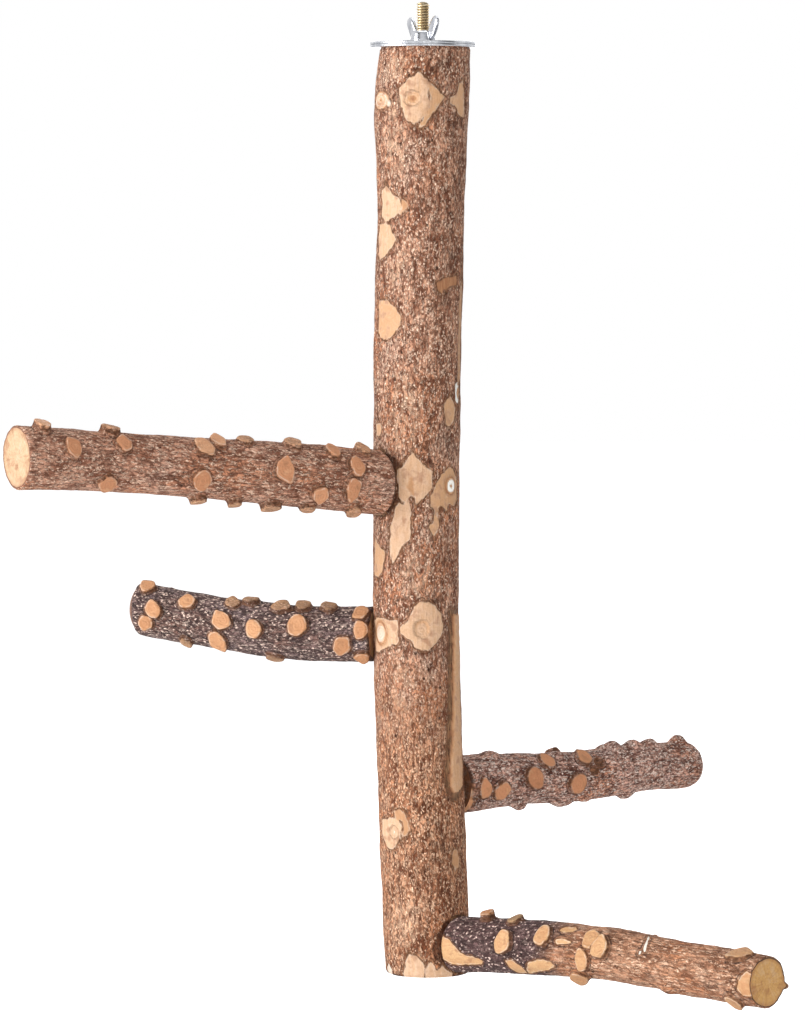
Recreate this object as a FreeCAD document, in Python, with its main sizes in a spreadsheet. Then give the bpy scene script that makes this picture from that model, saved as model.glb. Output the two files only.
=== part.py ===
import FreeCAD, Part
import os
import Sketcher

# A hanging bird perch of natural prickly wood. An upright trunk hangs from a threaded stud that
# a wing nut and two broad washers clamp to a cage roof. Four knobbly perches screw onto the
# trunk, each on a hidden bolt that runs in a threaded insert.
# The frame has its origin on the stud's axis, at the clamp plane between the two washers.
# +Z is up, +X is to the viewer's right, and +Y points away from the viewer. Sizes are in mm.

# Hardware that hangs the trunk and holds the perches
HARDWARE = {
    "stud_dia": 6.35,
    "stud_above_clamp": 20.5,
    "stud_in_trunk": 30.0,
    "stud_point": 7.0,
    "stud_chamfer": 0.8,
    "washer_dia": 50.8,
    "washer_hole": 7.1,
    "washer_gauge": 1.3,
    "nut_base_dia": 12.4,
    "nut_top_dia": 9.6,
    "nut_height": 5.6,
    "wing_span": 27.0,
    "wing_height": 12.6,
    "wing_width": 5.8,
    "wing_foot_span": 20.0,
    "wing_lift": 0.8,
    "wing_gauge": 2.6,
    "wing_round": 2.4,
    "wing_turn": -56.0,
    "bolt_dia": 6.35,
    "bolt_in_trunk": 15.5,
    "bolt_in_perch": 25.0,
    "bolt_point": 6.0,
    "bolt_chamfer": 0.8,
    "insert_dia": 10.0,
    "insert_length": 13.0,
    "insert_recess": 0.5,
    "thread_play": 0.05,
    "bolt_bore_play": 0.4,
    "pilot_room": 1.0,
}

# Wood: places of the perches down the trunk, and the prickles and knots on the bark
WOOD = {
    "first_perch_depth": 207.5,
    "perch_spacing": 74.0,
    "tail_below_perches": 15.5,
    "collar_depth": 25.0,
    "shoulder_depth": 60.0,
    "flank_depth": 130.0,
    "seat_cut": 0.6,
    "seat_margin": 0.5,
    "knob_base": 8.8,
    "knob_crown": 7.0,
    "knob_proud": 2.8,
    "knob_root": 2.5,
    "knob_turn": 45.0,
    "knot_proud": 1.4,
    "knot_root": 4.5,
    "knot_taper": 1.6,
}

# Rings that shape each perch, spaced evenly from its root to its tip. Rise is up and sway is
# sideways. A knob is placed by its share of the length and its angle round the perch, from the
# sideways direction towards up.
PERCHES = {
    "upper_left": {
        "azimuth": 211.0,
        "length": 193.0,
        "girth": [31.0, 30.2, 28.4, 27.6, 29.2],
        "rise": [0.0, 5.2, 9.6, 13.8, 17.2],
        "sway": [0.0, 0.4, 0.0, -0.5, 0.0],
        "knobs": [
            (0.948, 68), (0.885, 23), (0.758, 79), (0.745, 35), (0.787, -41), (0.525, 42),
            (0.478, 62), (0.545, -21), (0.398, 72), (0.32, 10), (0.27, 66), (0.166, 54),
            (0.072, 68), (0.113, 24), (0.13, -15), (0.215, -31), (0.524, -73), (0.427, -74),
            (0.32, -76), (0.226, -72), (0.098, -66), (0.91, 170), (0.83, 125), (0.66, 200),
            (0.6, 140), (0.57, 235), (0.44, 165), (0.35, 215), (0.24, 150), (0.13, 195),
            (0.05, 140), (0.89, 245),
        ],
    },
    "lower_left": {
        "azimuth": 165.0,
        "length": 120.5,
        "girth": [26.8, 26.6, 26.2, 25.2, 25.6],
        "rise": [0.0, -0.4, 1.4, 5.4, 9.4],
        "sway": [0.0, 0.3, 0.8, 0.4, 0.0],
        "knobs": [
            (0.945, 64), (0.902, 12), (0.935, -19), (0.765, 41), (0.61, 13), (0.582, 62),
            (0.512, 76), (0.475, 6), (0.378, 63), (0.292, 72), (0.186, 72), (0.297, 17),
            (0.065, 50), (0.06, 12), (0.11, -18), (0.633, -32), (0.778, -60), (0.405, -64),
            (0.06, -48), (0.88, 150), (0.72, 180), (0.6, 215), (0.48, 150), (0.38, 195),
            (0.25, 160), (0.16, 225), (0.73, 250),
        ],
    },
    "upper_right": {
        "azimuth": 38.0,
        "length": 155.0,
        "girth": [28.8, 25.4, 25.0, 24.2, 22.8],
        "rise": [0.0, -0.4, -2.0, -0.6, -1.4],
        "sway": [0.0, 0.4, 0.6, 0.0, -0.8],
        "knobs": [
            (0.13, 108), (0.048, 184), (0.122, 193), (0.258, 173), (0.438, 187), (0.333, 136),
            (0.49, 131), (0.403, 112), (0.643, 100), (0.726, 103), (0.8, 101), (0.925, 94),
            (0.238, 243), (0.417, 248), (0.506, 233), (0.688, 254), (0.88, 30), (0.76, -20),
            (0.66, 40), (0.55, -5), (0.45, 50), (0.36, -30), (0.25, 20), (0.14, 30),
            (0.86, -65),
        ],
    },
    "lower_right": {
        "azimuth": -41.0,
        "length": 189.0,
        "girth": [26.8, 25.8, 24.4, 24.2, 24.0],
        "rise": [0.0, 3.2, 5.2, 3.8, 3.4],
        "sway": [0.0, 0.3, -0.6, -3.2, -7.0],
        "knobs": [
            (0.11, 101), (0.203, 163), (0.203, 106), (0.325, 145), (0.478, 142), (0.515, 159),
            (0.458, 187), (0.427, 236), (0.936, 108), (0.938, 234), (0.708, 234), (0.95, -5),
            (0.81, 30), (0.7, -25), (0.59, 45), (0.52, -35), (0.45, 20), (0.34, -10),
            (0.26, 45), (0.17, -35), (0.08, 30),
        ],
    },
}

# Rings that shape the trunk, from its crown to its foot: girth, then sway along X and along Y.
# One ring stands at each perch, so that the perch is seated on the trunk's own width.
TRUNK_RINGS = {
    "crown": (43.0, 1.0, 0.0),
    "collar": (45.4, -0.7, 0.3),
    "shoulder": (42.4, -0.8, 0.6),
    "flank": (42.0, -2.3, 0.8),
    "upper_left": (41.4, -3.2, 0.2),
    "lower_left": (41.4, -3.3, -0.6),
    "upper_right": (41.8, -0.9, -0.8),
    "lower_right": (41.2, 1.8, -0.3),
    "foot": (41.0, 2.3, 0.0),
}

# Low knots on the trunk: share of its length below the crown, azimuth and width
TRUNK_KNOTS = [
    (0.057, 265, 22.0), (0.055, 217, 11.0), (0.166, 229, 14.0), (0.207, 208, 14.0),
    (0.292, 230, 16.0), (0.472, 322, 11.0), (0.622, 276, 20.0), (0.629, 219, 12.0),
    (0.843, 234, 15.0), (0.120, 60, 16.0), (0.300, 120, 15.0), (0.505, 75, 18.0),
    (0.690, 95, 14.0), (0.880, 110, 16.0),
]

doc = FreeCAD.newDocument("hanging_bird_perch")
sheet = doc.addObject("Spreadsheet::Sheet", "Sizes")
nodes = []


def write_cell(alias, value):
    """Put one driving size in the next row of the sheet and name it."""
    write_cell.row += 1
    sheet.set(f"A{write_cell.row}", alias)
    sheet.set(f"B{write_cell.row}", str(value))
    sheet.setAlias(f"B{write_cell.row}", alias)


write_cell.row = 0


def fill_sheet():
    """Write every driving size to the sheet."""
    for alias, value in {**HARDWARE, **WOOD}.items():
        write_cell(alias, value)
    for side, perch in PERCHES.items():
        write_cell(f"{side}_azimuth", perch["azimuth"])
        write_cell(f"{side}_length", perch["length"])
        for measure in ("girth", "rise", "sway"):
            for ring, value in enumerate(perch[measure]):
                write_cell(f"{side}_{measure}_{ring}", value)
    for ring, measures in TRUNK_RINGS.items():
        for measure, value in zip(("girth", "sway_x", "sway_y"), measures):
            write_cell(f"trunk_{ring}_{measure}", value)
    for number, (_, _, width) in enumerate(TRUNK_KNOTS):
        write_cell(f"knot_{number}_width", width)
    doc.recompute()


def size(expression):
    """Work out an expression on the sheet's sizes."""
    return float(sheet.evalExpression(expression))


def origin_feature(body, role):
    """Find one of a body's own origin planes or axes."""
    return next(item for item in body.Origin.OriginFeatures if item.Role == role)


def node(label, feature):
    """Name a finished sub-part and keep it for writing."""
    feature.Label = label
    nodes.append(feature)
    return feature


def outline(body, name, corners):
    """Sketch a closed polygon on a body's XZ plane through corners (across, up)."""
    sketch = body.newObject("Sketcher::SketchObject", name)
    sketch.AttachmentSupport = (origin_feature(body, "XZ_Plane"), [""])
    sketch.MapMode = "FlatFace"
    points = [FreeCAD.Vector(size(across), size(up), 0) for across, up in corners]
    for start, end in zip(points, points[1:] + points[:1]):
        sketch.addGeometry(Part.LineSegment(start, end), False)
    count = len(points)
    for line in range(count):
        sketch.addConstraint(Sketcher.Constraint("Coincident", line, 2, (line + 1) % count, 1))
    for line, (corner, point) in enumerate(zip(corners, points)):
        for kind, expression, value in (("DistanceX", corner[0], point.x),
                                        ("DistanceY", corner[1], point.y)):
            index = sketch.addConstraint(Sketcher.Constraint(kind, -1, 1, line, 1, value))
            sketch.setExpression(f"Constraints[{index}]", expression)
    return sketch


def turned(name, corners):
    """Turn a polygon of (radius, height) corners about Z into a body."""
    body = doc.addObject("PartDesign::Body", name)
    sketch = outline(body, f"{name}_profile", corners)
    turn = body.newObject("PartDesign::Revolution", f"{name}_turn")
    turn.Profile = sketch
    turn.ReferenceAxis = (sketch, ["V_Axis"])
    turn.Angle = 360
    return body


def ring_sketch(body, name, girth, place):
    """Sketch one circle of a limb, of a given girth, at (across, up, along)."""
    sketch = body.newObject("Sketcher::SketchObject", name)
    sketch.AttachmentSupport = (origin_feature(body, "XY_Plane"), [""])
    sketch.MapMode = "FlatFace"
    circle = Part.Circle(FreeCAD.Vector(0, 0, 0), FreeCAD.Vector(0, 0, 1), size(girth) / 2)
    sketch.addGeometry(circle, False)
    sketch.addConstraint(Sketcher.Constraint("Coincident", 0, 3, -1, 1))
    index = sketch.addConstraint(Sketcher.Constraint("Diameter", 0, size(girth)))
    sketch.setExpression(f"Constraints[{index}]", girth)
    for letter, expression in zip("xyz", place):
        sketch.setExpression(f"AttachmentOffset.Base.{letter}", expression)
    return sketch


def limb(name, rings):
    """Loft a length of round wood through rings of (girth, (across, up, along))."""
    body = doc.addObject("PartDesign::Body", name)
    sketches = [ring_sketch(body, f"{name}_ring", girth, place) for girth, place in rings]
    loft = body.newObject("PartDesign::AdditiveLoft", f"{name}_loft")
    loft.Profile = sketches[0]
    loft.Sections = sketches[1:]
    return body


def at_share(rings, share):
    """Girth and centre of a limb at a share of the way from its first ring to its last."""
    stops = [(size(girth), FreeCAD.Vector(*map(size, place))) for girth, place in rings]
    first, last = stops[0][1].z, stops[-1][1].z
    along = first + share * (last - first)
    for (girth, centre), (next_girth, next_centre) in zip(stops, stops[1:]):
        part = (along - centre.z) / (next_centre.z - centre.z)
        if part <= 1:
            break
    return girth + part * (next_girth - girth), centre + (next_centre - centre) * part


def knob(name, centre, girth, angle):
    """A cut-off prickle: a four-sided frustum standing out of the bark at an angle round Z."""
    prickle = doc.addObject("Part::Wedge", name)
    for side in "XZ":
        prickle.setExpression(f"{side}min", "-Sizes.knob_base / 2")
        prickle.setExpression(f"{side}max", "Sizes.knob_base / 2")
        prickle.setExpression(f"{side}2min", "-Sizes.knob_crown / 2")
        prickle.setExpression(f"{side}2max", "Sizes.knob_crown / 2")
    prickle.setExpression("Ymin", "-Sizes.knob_root")
    prickle.setExpression("Ymax", "Sizes.knob_proud")
    outward = FreeCAD.Rotation(FreeCAD.Vector(0, 0, 1), angle - 90)
    diamond = FreeCAD.Rotation(FreeCAD.Vector(0, 1, 0), size("Sizes.knob_turn"))
    foot = centre + outward.multVec(FreeCAD.Vector(0, girth / 2, 0))
    prickle.Placement = FreeCAD.Placement(foot, outward * diamond)
    return prickle


def knot(number, rings):
    """A low round knot on the trunk's bark."""
    share, azimuth, _ = TRUNK_KNOTS[number]
    girth, centre = at_share(rings, share)
    swelling = doc.addObject("Part::Cone", "knot")
    swelling.setExpression("Radius1", f"Sizes.knot_{number}_width / 2")
    swelling.setExpression("Radius2", f"Sizes.knot_{number}_width / 2 - Sizes.knot_taper")
    swelling.setExpression("Height", "Sizes.knot_root + Sizes.knot_proud")
    outward = FreeCAD.Rotation(FreeCAD.Vector(0, 0, 1), azimuth)
    tipped = FreeCAD.Rotation(FreeCAD.Vector(0, 1, 0), 90)
    reach = girth / 2 - size("Sizes.knot_root")
    foot = centre + outward.multVec(FreeCAD.Vector(reach, 0, 0))
    swelling.Placement = FreeCAD.Placement(foot, outward * tipped)
    return swelling


def cylinder(name, dia, length, placement):
    """A cylinder along the Z of a placement, for cutting a hole or a seat."""
    cutter = doc.addObject("Part::Cylinder", name)
    cutter.setExpression("Radius", f"({dia}) / 2")
    cutter.setExpression("Height", length)
    cutter.setExpression("Placement", placement)
    return cutter


def fused(name, shapes):
    """Join overlapping shapes into one."""
    union = doc.addObject("Part::MultiFuse", name)
    union.Shapes = shapes
    return union


def cut(name, base, tool):
    """Take a tool's shape out of a base."""
    remainder = doc.addObject("Part::Cut", name)
    remainder.Base = base
    remainder.Tool = tool
    return remainder


def frame_at(x, y, z):
    """Placement expression for a frame set square to the row's axes."""
    return f"placement(vector({x}; {y}; {z}); rotation(vector(0; 0; 1); 0))"


def perch_depth(side):
    """How far below the crown a perch's bolt runs."""
    return f"Sizes.first_perch_depth + {list(PERCHES).index(side)} * Sizes.perch_spacing"


def perch_frame(side, along):
    """Placement expression for a frame on a perch's bolt: Z runs outwards and Y is up."""
    place = (f"vector(Sizes.trunk_{side}_sway_x; Sizes.trunk_{side}_sway_y;"
             f" -Sizes.washer_gauge - ({perch_depth(side)}))")
    facing = f"rotation(vector(0; 0; 1); Sizes.{side}_azimuth) * rotation(vector(1; 1; 1); 120)"
    return f"placement({place}; {facing}) * {frame_at(0, 0, along)}"


def seat(side):
    """Distance from the trunk's middle to a perch's flat seat."""
    return f"Sizes.trunk_{side}_girth / 2 - Sizes.seat_cut"


def trunk_rings():
    """The trunk's rings in order, each at its depth below the clamp plane."""
    depths = {
        "crown": "0",
        "collar": "Sizes.collar_depth",
        "shoulder": "Sizes.shoulder_depth",
        "flank": "Sizes.flank_depth",
        "foot": f"{perch_depth('lower_right')} + Sizes.tail_below_perches",
    }
    rings = []
    for ring in TRUNK_RINGS:
        depth = depths.get(ring) or perch_depth(ring)
        place = (f"Sizes.trunk_{ring}_sway_x", f"Sizes.trunk_{ring}_sway_y",
                 f"-Sizes.washer_gauge - ({depth})")
        rings.append((f"Sizes.trunk_{ring}_girth", place))
    return rings


def perch_rings(side):
    """A perch's rings in order, in its own frame with the root face at zero."""
    last = len(PERCHES[side]["girth"]) - 1
    return [(f"Sizes.{side}_girth_{ring}",
             (f"Sizes.{side}_sway_{ring}", f"Sizes.{side}_rise_{ring}",
              f"Sizes.{side}_length * {ring} / {last}"))
            for ring in range(last + 1)]


def perch_holes(side):
    """The flat seat, insert bore and bolt clearance bore that one perch needs in the trunk."""
    insert_end = f"{seat(side)} - Sizes.insert_recess - Sizes.insert_length"
    bolt_end = f"{seat(side)} - Sizes.bolt_in_trunk - Sizes.pilot_room"
    return [
        cylinder(f"{side}_seat", f"Sizes.{side}_girth_0 + 2 * Sizes.seat_margin",
                 f"Sizes.trunk_{side}_girth", perch_frame(side, seat(side))),
        cylinder(f"{side}_insert_bore", "Sizes.insert_dia + 2 * Sizes.thread_play",
                 f"Sizes.trunk_{side}_girth", perch_frame(side, insert_end)),
        cylinder(f"{side}_bolt_bore", "Sizes.bolt_dia + 2 * Sizes.bolt_bore_play",
                 f"Sizes.trunk_{side}_girth", perch_frame(side, bolt_end)),
    ]


def build_trunk():
    """The upright trunk, with its knots, seats and bores."""
    rings = trunk_rings()
    knots = [knot(number, rings) for number in range(len(TRUNK_KNOTS))]
    wood = fused("trunk_with_knots", [limb("trunk_wood", rings)] + knots)
    stud_bore = cylinder("stud_bore", "Sizes.stud_dia + 2 * Sizes.thread_play",
                         "Sizes.stud_in_trunk + Sizes.pilot_room",
                         frame_at(0, 0, "-Sizes.washer_gauge - Sizes.stud_in_trunk - Sizes.pilot_room"))
    holes = [hole for side in PERCHES for hole in perch_holes(side)]
    node("trunk", cut("trunk", wood, fused("trunk_holes", [stud_bore] + holes)))


def build_hanging_hardware():
    """The stud, the two washers and the wing nut that clamp the cage roof."""
    radius = "Sizes.stud_dia / 2"
    bottom = "-Sizes.washer_gauge - Sizes.stud_in_trunk"
    node("hanging_stud", turned("hanging_stud", [
        ("0", bottom),
        (radius, f"{bottom} + Sizes.stud_point"),
        (radius, "Sizes.stud_above_clamp - Sizes.stud_chamfer"),
        (f"{radius} - Sizes.stud_chamfer", "Sizes.stud_above_clamp"),
        ("0", "Sizes.stud_above_clamp"),
    ]))
    for label, base, top in (("lower_washer", "-Sizes.washer_gauge", "0"),
                             ("upper_washer", "0", "Sizes.washer_gauge")):
        node(label, turned(label, [
            ("Sizes.washer_hole / 2", base),
            ("Sizes.washer_dia / 2", base),
            ("Sizes.washer_dia / 2", top),
            ("Sizes.washer_hole / 2", top),
        ]))
    build_wing_nut()


def build_wing_nut():
    """The wing nut: a tapered hub with two upright ears."""
    bore = "Sizes.stud_dia / 2 + Sizes.thread_play"
    nut = turned("wing_nut", [
        (bore, "0"),
        ("Sizes.nut_base_dia / 2", "0"),
        ("Sizes.nut_base_dia / 2", "Sizes.wing_lift"),
        ("Sizes.nut_top_dia / 2", "Sizes.nut_height"),
        (bore, "Sizes.nut_height"),
    ])
    inner = f"({bore} + Sizes.nut_top_dia / 2) / 2"
    ear = outline(nut, "ear_profile", [
        (inner, "Sizes.wing_lift"),
        ("Sizes.wing_foot_span / 2", "Sizes.wing_lift"),
        ("Sizes.wing_span / 2", "Sizes.wing_height"),
        ("Sizes.wing_span / 2 - Sizes.wing_width", "Sizes.wing_height"),
        (inner, "Sizes.nut_height - Sizes.wing_lift"),
    ])
    pad = nut.newObject("PartDesign::Pad", "ear")
    pad.Profile = ear
    pad.SideType = "Symmetric"
    pad.setExpression("Length", "Sizes.wing_gauge")
    pair = nut.newObject("PartDesign::Mirrored", "ears")
    pair.Originals = [pad]
    pair.MirrorPlane = (origin_feature(nut, "YZ_Plane"), [""])
    nut.Tip = pair
    doc.recompute()
    rounds = nut.newObject("PartDesign::Fillet", "ear_rounds")
    rounds.Base = (pair, ear_corner_edges(pair.Shape))
    rounds.setExpression("Radius", "Sizes.wing_round")
    turn = "rotation(vector(0; 0; 1); Sizes.wing_turn)"
    nut.setExpression("Placement", f"placement(vector(0; 0; Sizes.washer_gauge); {turn})")
    node("wing_nut", nut)


def ear_corner_edges(shape):
    """Names of the edges across the tops of the wing nut's ears."""
    crown = size("Sizes.wing_height - Sizes.wing_gauge / 2")
    return [f"Edge{number}" for number, edge in enumerate(shape.Edges, start=1)
            if edge.BoundBox.YLength > edge.BoundBox.XLength and edge.CenterOfMass.z > crown]


def build_perch(side):
    """One perch with its prickles, the bolt that holds it and the insert that takes the bolt."""
    rings = perch_rings(side)
    knobs = []
    for share, angle in PERCHES[side]["knobs"]:
        girth, centre = at_share(rings, share)
        knobs.append(knob(f"{side}_knob", centre, girth, angle))
    wood = fused(f"{side}_wood_with_knobs", [limb(f"{side}_wood", rings)] + knobs)
    pilot = cylinder(f"{side}_pilot", "Sizes.bolt_dia + 2 * Sizes.thread_play",
                     "Sizes.bolt_in_perch + Sizes.pilot_room", frame_at(0, 0, 0))
    perch = cut(f"{side}_perch", wood, pilot)
    perch.setExpression("Placement", perch_frame(side, seat(side)))
    node(f"{side}_perch", perch)

    radius = "Sizes.bolt_dia / 2"
    bolt = turned(f"{side}_bolt", [
        ("0", "-Sizes.bolt_in_trunk"),
        (f"{radius} - Sizes.bolt_chamfer", "-Sizes.bolt_in_trunk"),
        (radius, "-Sizes.bolt_in_trunk + Sizes.bolt_chamfer"),
        (radius, "Sizes.bolt_in_perch - Sizes.bolt_point"),
        ("0", "Sizes.bolt_in_perch"),
    ])
    bolt.setExpression("Placement", perch_frame(side, seat(side)))
    node(f"{side}_bolt", bolt)

    insert = turned(f"{side}_insert", [
        ("Sizes.bolt_dia / 2 + Sizes.thread_play", "-Sizes.insert_length"),
        ("Sizes.insert_dia / 2", "-Sizes.insert_length"),
        ("Sizes.insert_dia / 2", "0"),
        ("Sizes.bolt_dia / 2 + Sizes.thread_play", "0"),
    ])
    insert.setExpression("Placement", perch_frame(side, f"{seat(side)} - Sizes.insert_recess"))
    node(f"{side}_insert", insert)


def check_model():
    """Stop if any object failed or any sub-part is not one sound solid."""
    for item in doc.Objects:
        if {"Invalid", "Error"} & set(item.State):
            raise RuntimeError(f"{item.Label} failed: {item.State}")
    for part in nodes:
        shape = part.Shape
        if shape.isNull() or not shape.isValid() or len(shape.Solids) != 1 or shape.Volume <= 0:
            raise RuntimeError(f"{part.Label} is not one sound solid")


def write_parts():
    """Write each sub-part to its own file."""
    os.makedirs("parts", exist_ok=True)
    for part in nodes:
        part.Shape.exportStep(f"parts/{part.Label}.step")
        box = part.Shape.BoundBox
        print(f"{part.Label}: {part.Shape.Volume:.0f} mm3, x {box.XMin:.1f} to {box.XMax:.1f},"
              f" y {box.YMin:.1f} to {box.YMax:.1f}, z {box.ZMin:.1f} to {box.ZMax:.1f}")


fill_sheet()
build_trunk()
build_hanging_hardware()
for perch_side in PERCHES:
    build_perch(perch_side)
doc.recompute()
check_model()
write_parts()
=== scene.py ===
"""Looks of a hanging bird perch: a barked trunk and four knobbly perches, hung by a stud and wing nut."""

import logging
import math
from collections.abc import Sequence
from dataclasses import dataclass
from enum import Enum
from functools import partial

import bmesh
import bpy
import numpy as np
from bmesh.types import BMesh, BMVert
from bpy.types import ID, Material, Mesh, NodeSocket, Object, World
from mathutils import Matrix, Vector, noise


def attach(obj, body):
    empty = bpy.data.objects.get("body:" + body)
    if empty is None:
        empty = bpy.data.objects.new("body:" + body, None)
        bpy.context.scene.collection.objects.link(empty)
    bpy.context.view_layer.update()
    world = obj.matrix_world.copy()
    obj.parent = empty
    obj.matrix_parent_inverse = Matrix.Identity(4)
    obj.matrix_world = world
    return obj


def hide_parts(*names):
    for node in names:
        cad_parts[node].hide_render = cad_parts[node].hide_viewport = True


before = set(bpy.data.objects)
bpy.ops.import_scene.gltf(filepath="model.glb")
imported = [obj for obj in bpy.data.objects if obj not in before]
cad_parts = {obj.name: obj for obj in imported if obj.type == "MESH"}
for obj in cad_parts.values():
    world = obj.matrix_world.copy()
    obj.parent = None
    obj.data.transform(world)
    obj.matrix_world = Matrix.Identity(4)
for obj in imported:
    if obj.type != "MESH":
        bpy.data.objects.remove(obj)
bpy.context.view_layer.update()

LOG = logging.getLogger("perch")
MM = 0.001
Colour = tuple[float, float, float]
Pair = tuple[float, float]
Array = np.ndarray


def srgb(*display: float) -> Colour:
    """Turn red, green and blue on the display, from 0 to 255, into a linear colour."""
    return tuple(share / 12.92 if share <= 0.04045 else ((share + 0.055) / 1.055) ** 2.4
                 for share in (value / 255 for value in display))


def tinted(colour: Colour, tint: Colour) -> Colour:
    """A colour with each of its parts multiplied."""
    return tuple(part * share for part, share in zip(colour, tint))


def shaded(colour: Colour, share: float) -> Colour:
    """What is left of a colour made darker."""
    return tinted(colour, (share, share, share))


class Signal:
    """An output in a material's node tree. Arithmetic on it adds Math nodes."""

    def __init__(self, graph: "Graph", socket: NodeSocket) -> None:
        """Hold one output socket of a graph."""
        self.graph, self.socket = graph, socket

    def __add__(self, other: "Signal | float") -> "Signal":
        """Sum of two values."""
        return self.graph.math("ADD", self, other)

    def __sub__(self, other: "Signal | float") -> "Signal":
        """This value less another."""
        return self.graph.math("SUBTRACT", self, other)

    def __rsub__(self, other: "Signal | float") -> "Signal":
        """Another value less this one."""
        return self.graph.math("SUBTRACT", other, self)

    def __mul__(self, other: "Signal | float") -> "Signal":
        """Product of two values."""
        return self.graph.math("MULTIPLY", self, other)

    __radd__, __rmul__ = __add__, __mul__

    def __neg__(self) -> "Signal":
        """This value with its sign turned."""
        return self * -1.0

    def ramp(self, low: float, high: float) -> "Signal":
        """Go smoothly from 0 at low to 1 at high, which may be the smaller one."""
        return self.graph.add("ShaderNodeMapRange", {"interpolation_type": "SMOOTHSTEP"},
                              {"Value": self, "From Min": low, "From Max": high})

    def wave(self) -> "Signal":
        """Sine of this value, from -1 to 1."""
        return self.graph.math("SINE", self)


class Graph:
    """The node tree of one material or world."""

    def __init__(self, owner: Material | World) -> None:
        """Start an empty tree.

        Args:
            owner: The new material or world that it belongs to.
        """
        self.owner = owner
        owner.use_nodes = True
        self.tree = owner.node_tree
        self.tree.nodes.clear()

    @classmethod
    def material(cls, name: str) -> "Graph":
        """Start a new material."""
        return cls(bpy.data.materials.new(name))

    def add(self, kind: str, settings: dict[str, object], inputs: dict[int | str, object],
            output: int | str = 0) -> Signal:
        """Add any node.

        Args:
            kind: The node's type.
            settings: Its own options, set before its sockets.
            inputs: Signals or constants for its sockets, by name or number.
            output: The output wanted.

        Returns:
            That output.
        """
        node = self.tree.nodes.new(kind)
        for name, value in settings.items():
            setattr(node, name, value)
        for key, value in inputs.items():
            socket = node.inputs[key]
            if isinstance(value, Signal):
                self.tree.links.new(value.socket, socket)
            else:
                socket.default_value = (*value, 1.0) if socket.type == "RGBA" else value
        return Signal(self, node.outputs[output] if node.outputs else None)

    def math(self, operation: str, *operands: Signal | float) -> Signal:
        """Join one to three values by a Math node."""
        return self.add("ShaderNodeMath", {"operation": operation}, dict(enumerate(operands)))

    def mix(self, start: Signal | Colour, end: Signal | Colour, share: Signal | float) -> Signal:
        """Blend two colours, from the start at share 0 to the end at share 1."""
        return self.add("ShaderNodeMix", {"data_type": "RGBA"}, {0: share, 6: start, 7: end}, 2)

    def layered(self, base: Signal | Colour, *layers: tuple[Signal | Colour, Signal | float]) -> Signal:
        """Lay colours over each other.

        Args:
            base: The lowest colour.
            layers: The others from below, each with its share.

        Returns:
            The blended colour.
        """
        for colour, share in layers:
            base = self.mix(base, colour, share)
        return base

    def stretched(self, vector: Signal, factor: float) -> Signal:
        """Multiply a vector's third part, so that a figure read there runs along the limb."""
        return self.add("ShaderNodeVectorMath", {"operation": "MULTIPLY"}, {0: vector, 1: (1, 1, factor)})

    def attribute(self, name: str) -> list[Signal]:
        """Read a vector that the mesh carries, and its three values."""
        vector = self.add("ShaderNodeAttribute", {"attribute_name": name}, {}, "Vector")
        return [vector, *self.parts(vector)]

    def parts(self, vector: Signal) -> list[Signal]:
        """Split a vector into its three values."""
        first = self.add("ShaderNodeSeparateXYZ", {}, {0: vector})
        return [Signal(self, socket) for socket in first.socket.node.outputs]

    def distance(self, across: Signal, up: Signal) -> Signal:
        """Distance from an axis."""
        return self.math("SQRT", across * across + up * up)

    def cloud(self, vector: Signal, grain: float, detail: float = 2.0, twist: float = 0.0) -> Signal:
        """Smooth noise about 0.5, with clouds the size of the grain in the vector's own unit."""
        return self.add("ShaderNodeTexNoise", {}, {"Vector": vector, "Scale": 1 / grain, "Detail": detail,
                                                   "Distortion": twist})

    def cells(self, vector: Signal, grain: float, output: str = "Distance") -> Signal:
        """Distance to, or colour of, the nearest of points scattered about a grain apart."""
        return self.add("ShaderNodeTexVoronoi", {}, {"Vector": vector, "Scale": 1 / grain}, output)

    def finish(self, shader: dict[str, object], height: Signal, relief: float) -> Material:
        """Close the material with one shader and its relief.

        Args:
            shader: The shader's inputs.
            height: Relief, mostly from 0 to 1.
            relief: What a height of 1 stands for, in metres.

        Returns:
            The finished material.
        """
        normal = self.add("ShaderNodeBump", {}, {"Strength": 1.0, "Distance": relief, "Height": height}, "Normal")
        surface = self.add("ShaderNodeBsdfPrincipled", {}, {**shader, "Normal": normal})
        self.add("ShaderNodeOutputMaterial", {}, {"Surface": surface})
        return self.owner


RUDDY = (0.98, 0.8, 0.66)
GREYISH = (0.86, 0.98, 1.1)
BLEACHED = srgb(250, 246, 240)
CUT_BROWN = srgb(146, 96, 66)
CUT_CREAM = srgb(216, 208, 196)
BARK_RELIEF = 0.0016
SAWN_RELIEF = 0.0004
PLATING_RELIEF = 0.00006


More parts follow.
